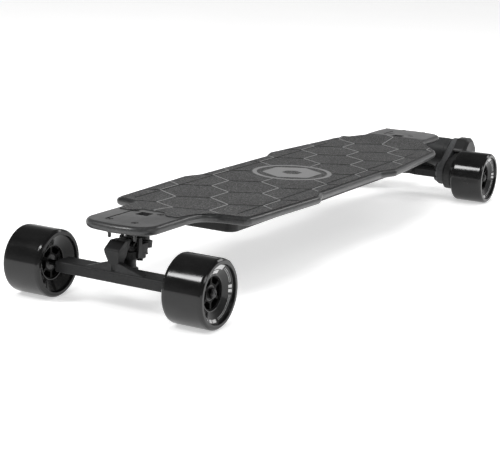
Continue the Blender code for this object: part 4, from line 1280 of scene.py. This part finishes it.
def make_wheel_pulley(label, side, y0, y1):
    """A toothed ring between flanges, bolted to the wheel's core; y0 and y1 are the belt's edges."""
    near, deep = span(label + "_pulley")
    tyre_face = WHEEL_Y - WHEEL_HALF - 0.0006
    flange = WHEEL_PULLEY_R + 0.0022
    teeth = plate([toothed(WHEEL_TEETH, WHEEL_PULLEY_R + 0.0001), circle(0.012, 48)],
                  y0 - 0.0012, y1 + 0.0012)
    inner = turned([(0.012, near), (flange - 0.002, near, 0.0004), (flange, near + 0.0006, 0.0003),
                    (flange, y0 - 0.0004, 0.0002), (0.012, y0 - 0.0004)], 96)
    outer = turned([(0.012, y1 + 0.0006), (flange, y1 + 0.0006, 0.0003), (flange, tyre_face, 0.0006),
                    (0.019, tyre_face, 0.0006), (0.019, deep, 0.0005), (0.012, deep)], 96)
    screw = [(0, near - 0.0012), (0.003, near - 0.0012, 0.0005), (0.003, near + 0.001), (0, near + 0.001)]
    screws = [turned(screw, 24, Matrix.Translation((*place, 0))) for place in circle(0.0185, 6)]
    out = along_y(REAR_X, 0, AXLE_Z, side)
    pulley = placed(joined([teeth, inner, outer]), out)
    show(pulley, label + "_pulley_fine", ANODISED, label + "_wheel", [label + "_pulley"])
    screws = placed(joined(screws), out)
    show(screws, label + "_pulley_screws", COATED, label + "_wheel")


def make_motor_pulley(label, side, at, y0, y1):
    start, end = span(label + "_motor_pulley")
    rim = MOTOR_PULLEY_R + 0.0028
    pulley = joined([
        plate([toothed(MOTOR_TEETH, MOTOR_PULLEY_R)], y0 - 0.0012, y1 + 0.0012),
        turned([(0, end), (0.0035, end, 0.0002), (0.0035, end - 0.0004), (rim, end - 0.0004, 0.0003),
                (rim, end - 0.0012, 0.0003), (0, end - 0.0012)], 64),
        turned([(0, y0 - 0.0004), (rim, y0 - 0.0004, 0.0003), (rim, y0 - 0.0012, 0.0003),
                (0, y0 - 0.0012)], 64),
        rod(0.003, y0, start, 32)])
    show(placed(pulley, along_y(at.x, 0, at.z, side)), label + "_motor_pulley_fine", ANODISED,
         label + "_shaft", [label + "_motor_pulley"])


COVER_CORNER = 0.012


def make_cover(label, side, at):
    """Eight-sided moulded cap over the motor pulley, with a chamfered rim and screw holes."""
    low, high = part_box(label + "_pulley_cover")
    y0, y1 = span(label + "_pulley_cover")
    radius = (high.z - low.z) / 2
    place = along_y(at.x, 0, at.z, side)

    def ring(inset, height):
        corners = circle((radius - inset) / cos(pi / 8), 8, phase=pi / 8)
        return [Vector((p.x, p.y, height)) for p in rounded([(c.x, c.y, COVER_CORNER) for c in corners], 6)]

    shell = loft([ring(0.007, y1 - 0.0025), ring(0.0028, y1 - 0.0068), ring(0.0028, y0), ring(0.0003, y0),
                  ring(0.0003, y1 - 0.006), ring(0.0009, y1 - 0.0052), ring(0.0052, y1 - 0.0007),
                  ring(0.0062, y1)], closed=True)
    placed(shell, place)
    opening = rod(0.0358, 0.12, 0.06, 96, along_y(REAR_X, 0, AXLE_Z, side))
    toward = Vector((REAR_X - at.x, AXLE_Z - at.z)).normalized()
    aside = Vector((-toward.y, toward.x)) * 0.0238
    start = Vector((at.x, at.z)) + toward * 0.01
    end = start + toward * 0.05
    mouth = in_xz([[start - aside, end - aside, end + aside, start + aside]],
                  side * (y0 - 0.01), side * (y1 - 0.0025))
    holes = []
    for k in range(3):
        angle = radians(200 + 70 * k) if side > 0 else radians(-20 - 70 * k)
        x, z = at.x + 0.025 * cos(angle), at.z + 0.025 * sin(angle)
        holes.append(rod(0.0026, y1 + 0.004, y1 - 0.0016, 24, along_y(x, 0, z, side)))
    carve(shell, [opening, mouth] + holes)
    show(shell, label + "_cover_fine", COVER, "rear_hanger", [label + "_pulley_cover"])


# ---- stage, light and camera --------------------------------------------
def make_stage():
    """A back-lit pale table, as wide as the view."""
    bm = bmesh.new()
    bmesh.ops.create_grid(bm, x_segments=1, y_segments=1, size=20.0)
    floor = mesh_object(bm, "studio_floor")
    bpy.context.scene.collection.objects.link(floor)
    floor.location.z = -0.0002
    f = Finish("studio_white")
    soft = f.noise(1.5, 2.0)
    f.colour(f.ramp(soft, [(0.3, grey(0.9)), (0.7, grey(0.92))]))
    f.rough(soft, 0.75, 0.85)
    fill(f.shader, Emission_Color=(1.0, 1.0, 1.0, 1), Emission_Strength=0.5)
    floor.data.materials.append(f.mat)


def make_world():
    """Even light for the surfaces; reflections see a dark studio with a pale wall behind the board."""
    world = bpy.data.worlds.new("studio")
    world.use_nodes = True
    tree = world.node_tree
    nodes, links = tree.nodes, tree.links
    plain = nodes["Background"]
    fill(plain, Color=(1.0, 1.0, 1.0, 1), Strength=0.44)
    coords = nodes.new("ShaderNodeTexCoord")
    parts = nodes.new("ShaderNodeSeparateXYZ")
    links.new(coords.outputs["Generated"], parts.inputs["Vector"])
    height = nodes.new("ShaderNodeValToRGB")
    set_stops(height, [(0.0, 1.0), (0.16, 0.78), (0.34, 0.24), (0.62, 0.07), (1.0, 0.1)])
    links.new(parts.outputs["Z"], height.inputs["Fac"])
    behind = nodes.new("ShaderNodeVectorMath")
    behind.operation = "DOT_PRODUCT"
    behind.inputs[1].default_value = (-0.87, -0.49, 0.0)
    links.new(coords.outputs["Generated"], behind.inputs[0])
    share = nodes.new("ShaderNodeMapRange")
    fill(share, From_Min=-0.6, From_Max=0.6, To_Min=0.22, To_Max=1.0)
    links.new(behind.outputs["Value"], share.inputs["Value"])
    mirrored_sky = nodes.new("ShaderNodeBackground")
    links.new(height.outputs["Color"], mirrored_sky.inputs["Color"])
    links.new(share.outputs["Result"], mirrored_sky.inputs["Strength"])
    path = nodes.new("ShaderNodeLightPath")
    choose = nodes.new("ShaderNodeMixShader")
    links.new(path.outputs["Is Glossy Ray"], choose.inputs["Fac"])
    links.new(plain.outputs["Background"], choose.inputs[1])
    links.new(mirrored_sky.outputs["Background"], choose.inputs[2])
    links.new(choose.outputs["Shader"], nodes["World Output"].inputs["Surface"])
    scene = bpy.context.scene
    scene.world = world
    scene.view_settings.view_transform = "Standard"


def area_light(name, place, target, size, power):
    data = bpy.data.lights.new(name, "AREA")
    data.shape = "RECTANGLE"
    data.size, data.size_y = size
    data.energy = power
    obj = bpy.data.objects.new(name, data)
    obj.location = place
    obj.rotation_euler = (Vector(target) - Vector(place)).to_track_quat("-Z", "Y").to_euler()
    bpy.context.scene.collection.objects.link(obj)
    return obj


def make_lights():
    area_light("key_softbox", (3.18, -2.04, 3.69), (0.5, 0.1, 0.05), (1.06, 1.4), 100)
    top = area_light("top_fill", (0.1, 0.0, 3.0), (0.1, 0.0, 0.0), (3.2, 1.6), 40)
    top.visible_glossy = False
    area_light("left_fill", (0.6, 3.6, 2.2), (0.0, 0.0, 0.05), (2.4, 0.8), 24)
    area_light("tail_fill", (-3.2, 1.4, 2.4), (-0.4, 0.0, 0.05), (1.4, 1.2), 20)


CAMERA_PLACE = (1.99975, 1.0137, 0.5331)
CAMERA_YAW, CAMERA_PITCH, CAMERA_ROLL = radians(-150.984), radians(-13.155), radians(2.226)
CAMERA_LENS = 96.98


def make_camera():
    data = bpy.data.cameras.new("camera")
    data.lens = CAMERA_LENS
    data.sensor_width = 36.0
    camera = bpy.data.objects.new("camera", data)
    level = Vector((cos(CAMERA_YAW), sin(CAMERA_YAW), 0))
    ahead = level * cos(CAMERA_PITCH) + Vector((0, 0, sin(CAMERA_PITCH)))
    right = ahead.cross(Vector((0, 0, 1))).normalized()
    up = right.cross(ahead)
    turn_right = right * cos(CAMERA_ROLL) + up * sin(CAMERA_ROLL)
    turn_up = up * cos(CAMERA_ROLL) - right * sin(CAMERA_ROLL)
    basis = Matrix((turn_right, turn_up, -ahead)).transposed().to_4x4()
    camera.matrix_world = Matrix.Translation(CAMERA_PLACE) @ basis
    bpy.context.scene.collection.objects.link(camera)
    bpy.context.scene.camera = camera


make_camera()
make_world()
make_lights()
make_stage()
make_deck()
make_grip()
make_lines()
make_badge()
make_bolts()
make_enclosure()
make_controls()
finish_node("battery_pack", CELLS, 0.001)
finish_node("speed_controller", CIRCUIT, 0.001)
for end_name in ("front", "rear"):
    make_truck(end_name)
for hand_name, hand_side in (("left", 1), ("right", -1)):
    make_drive(hand_name, hand_side)
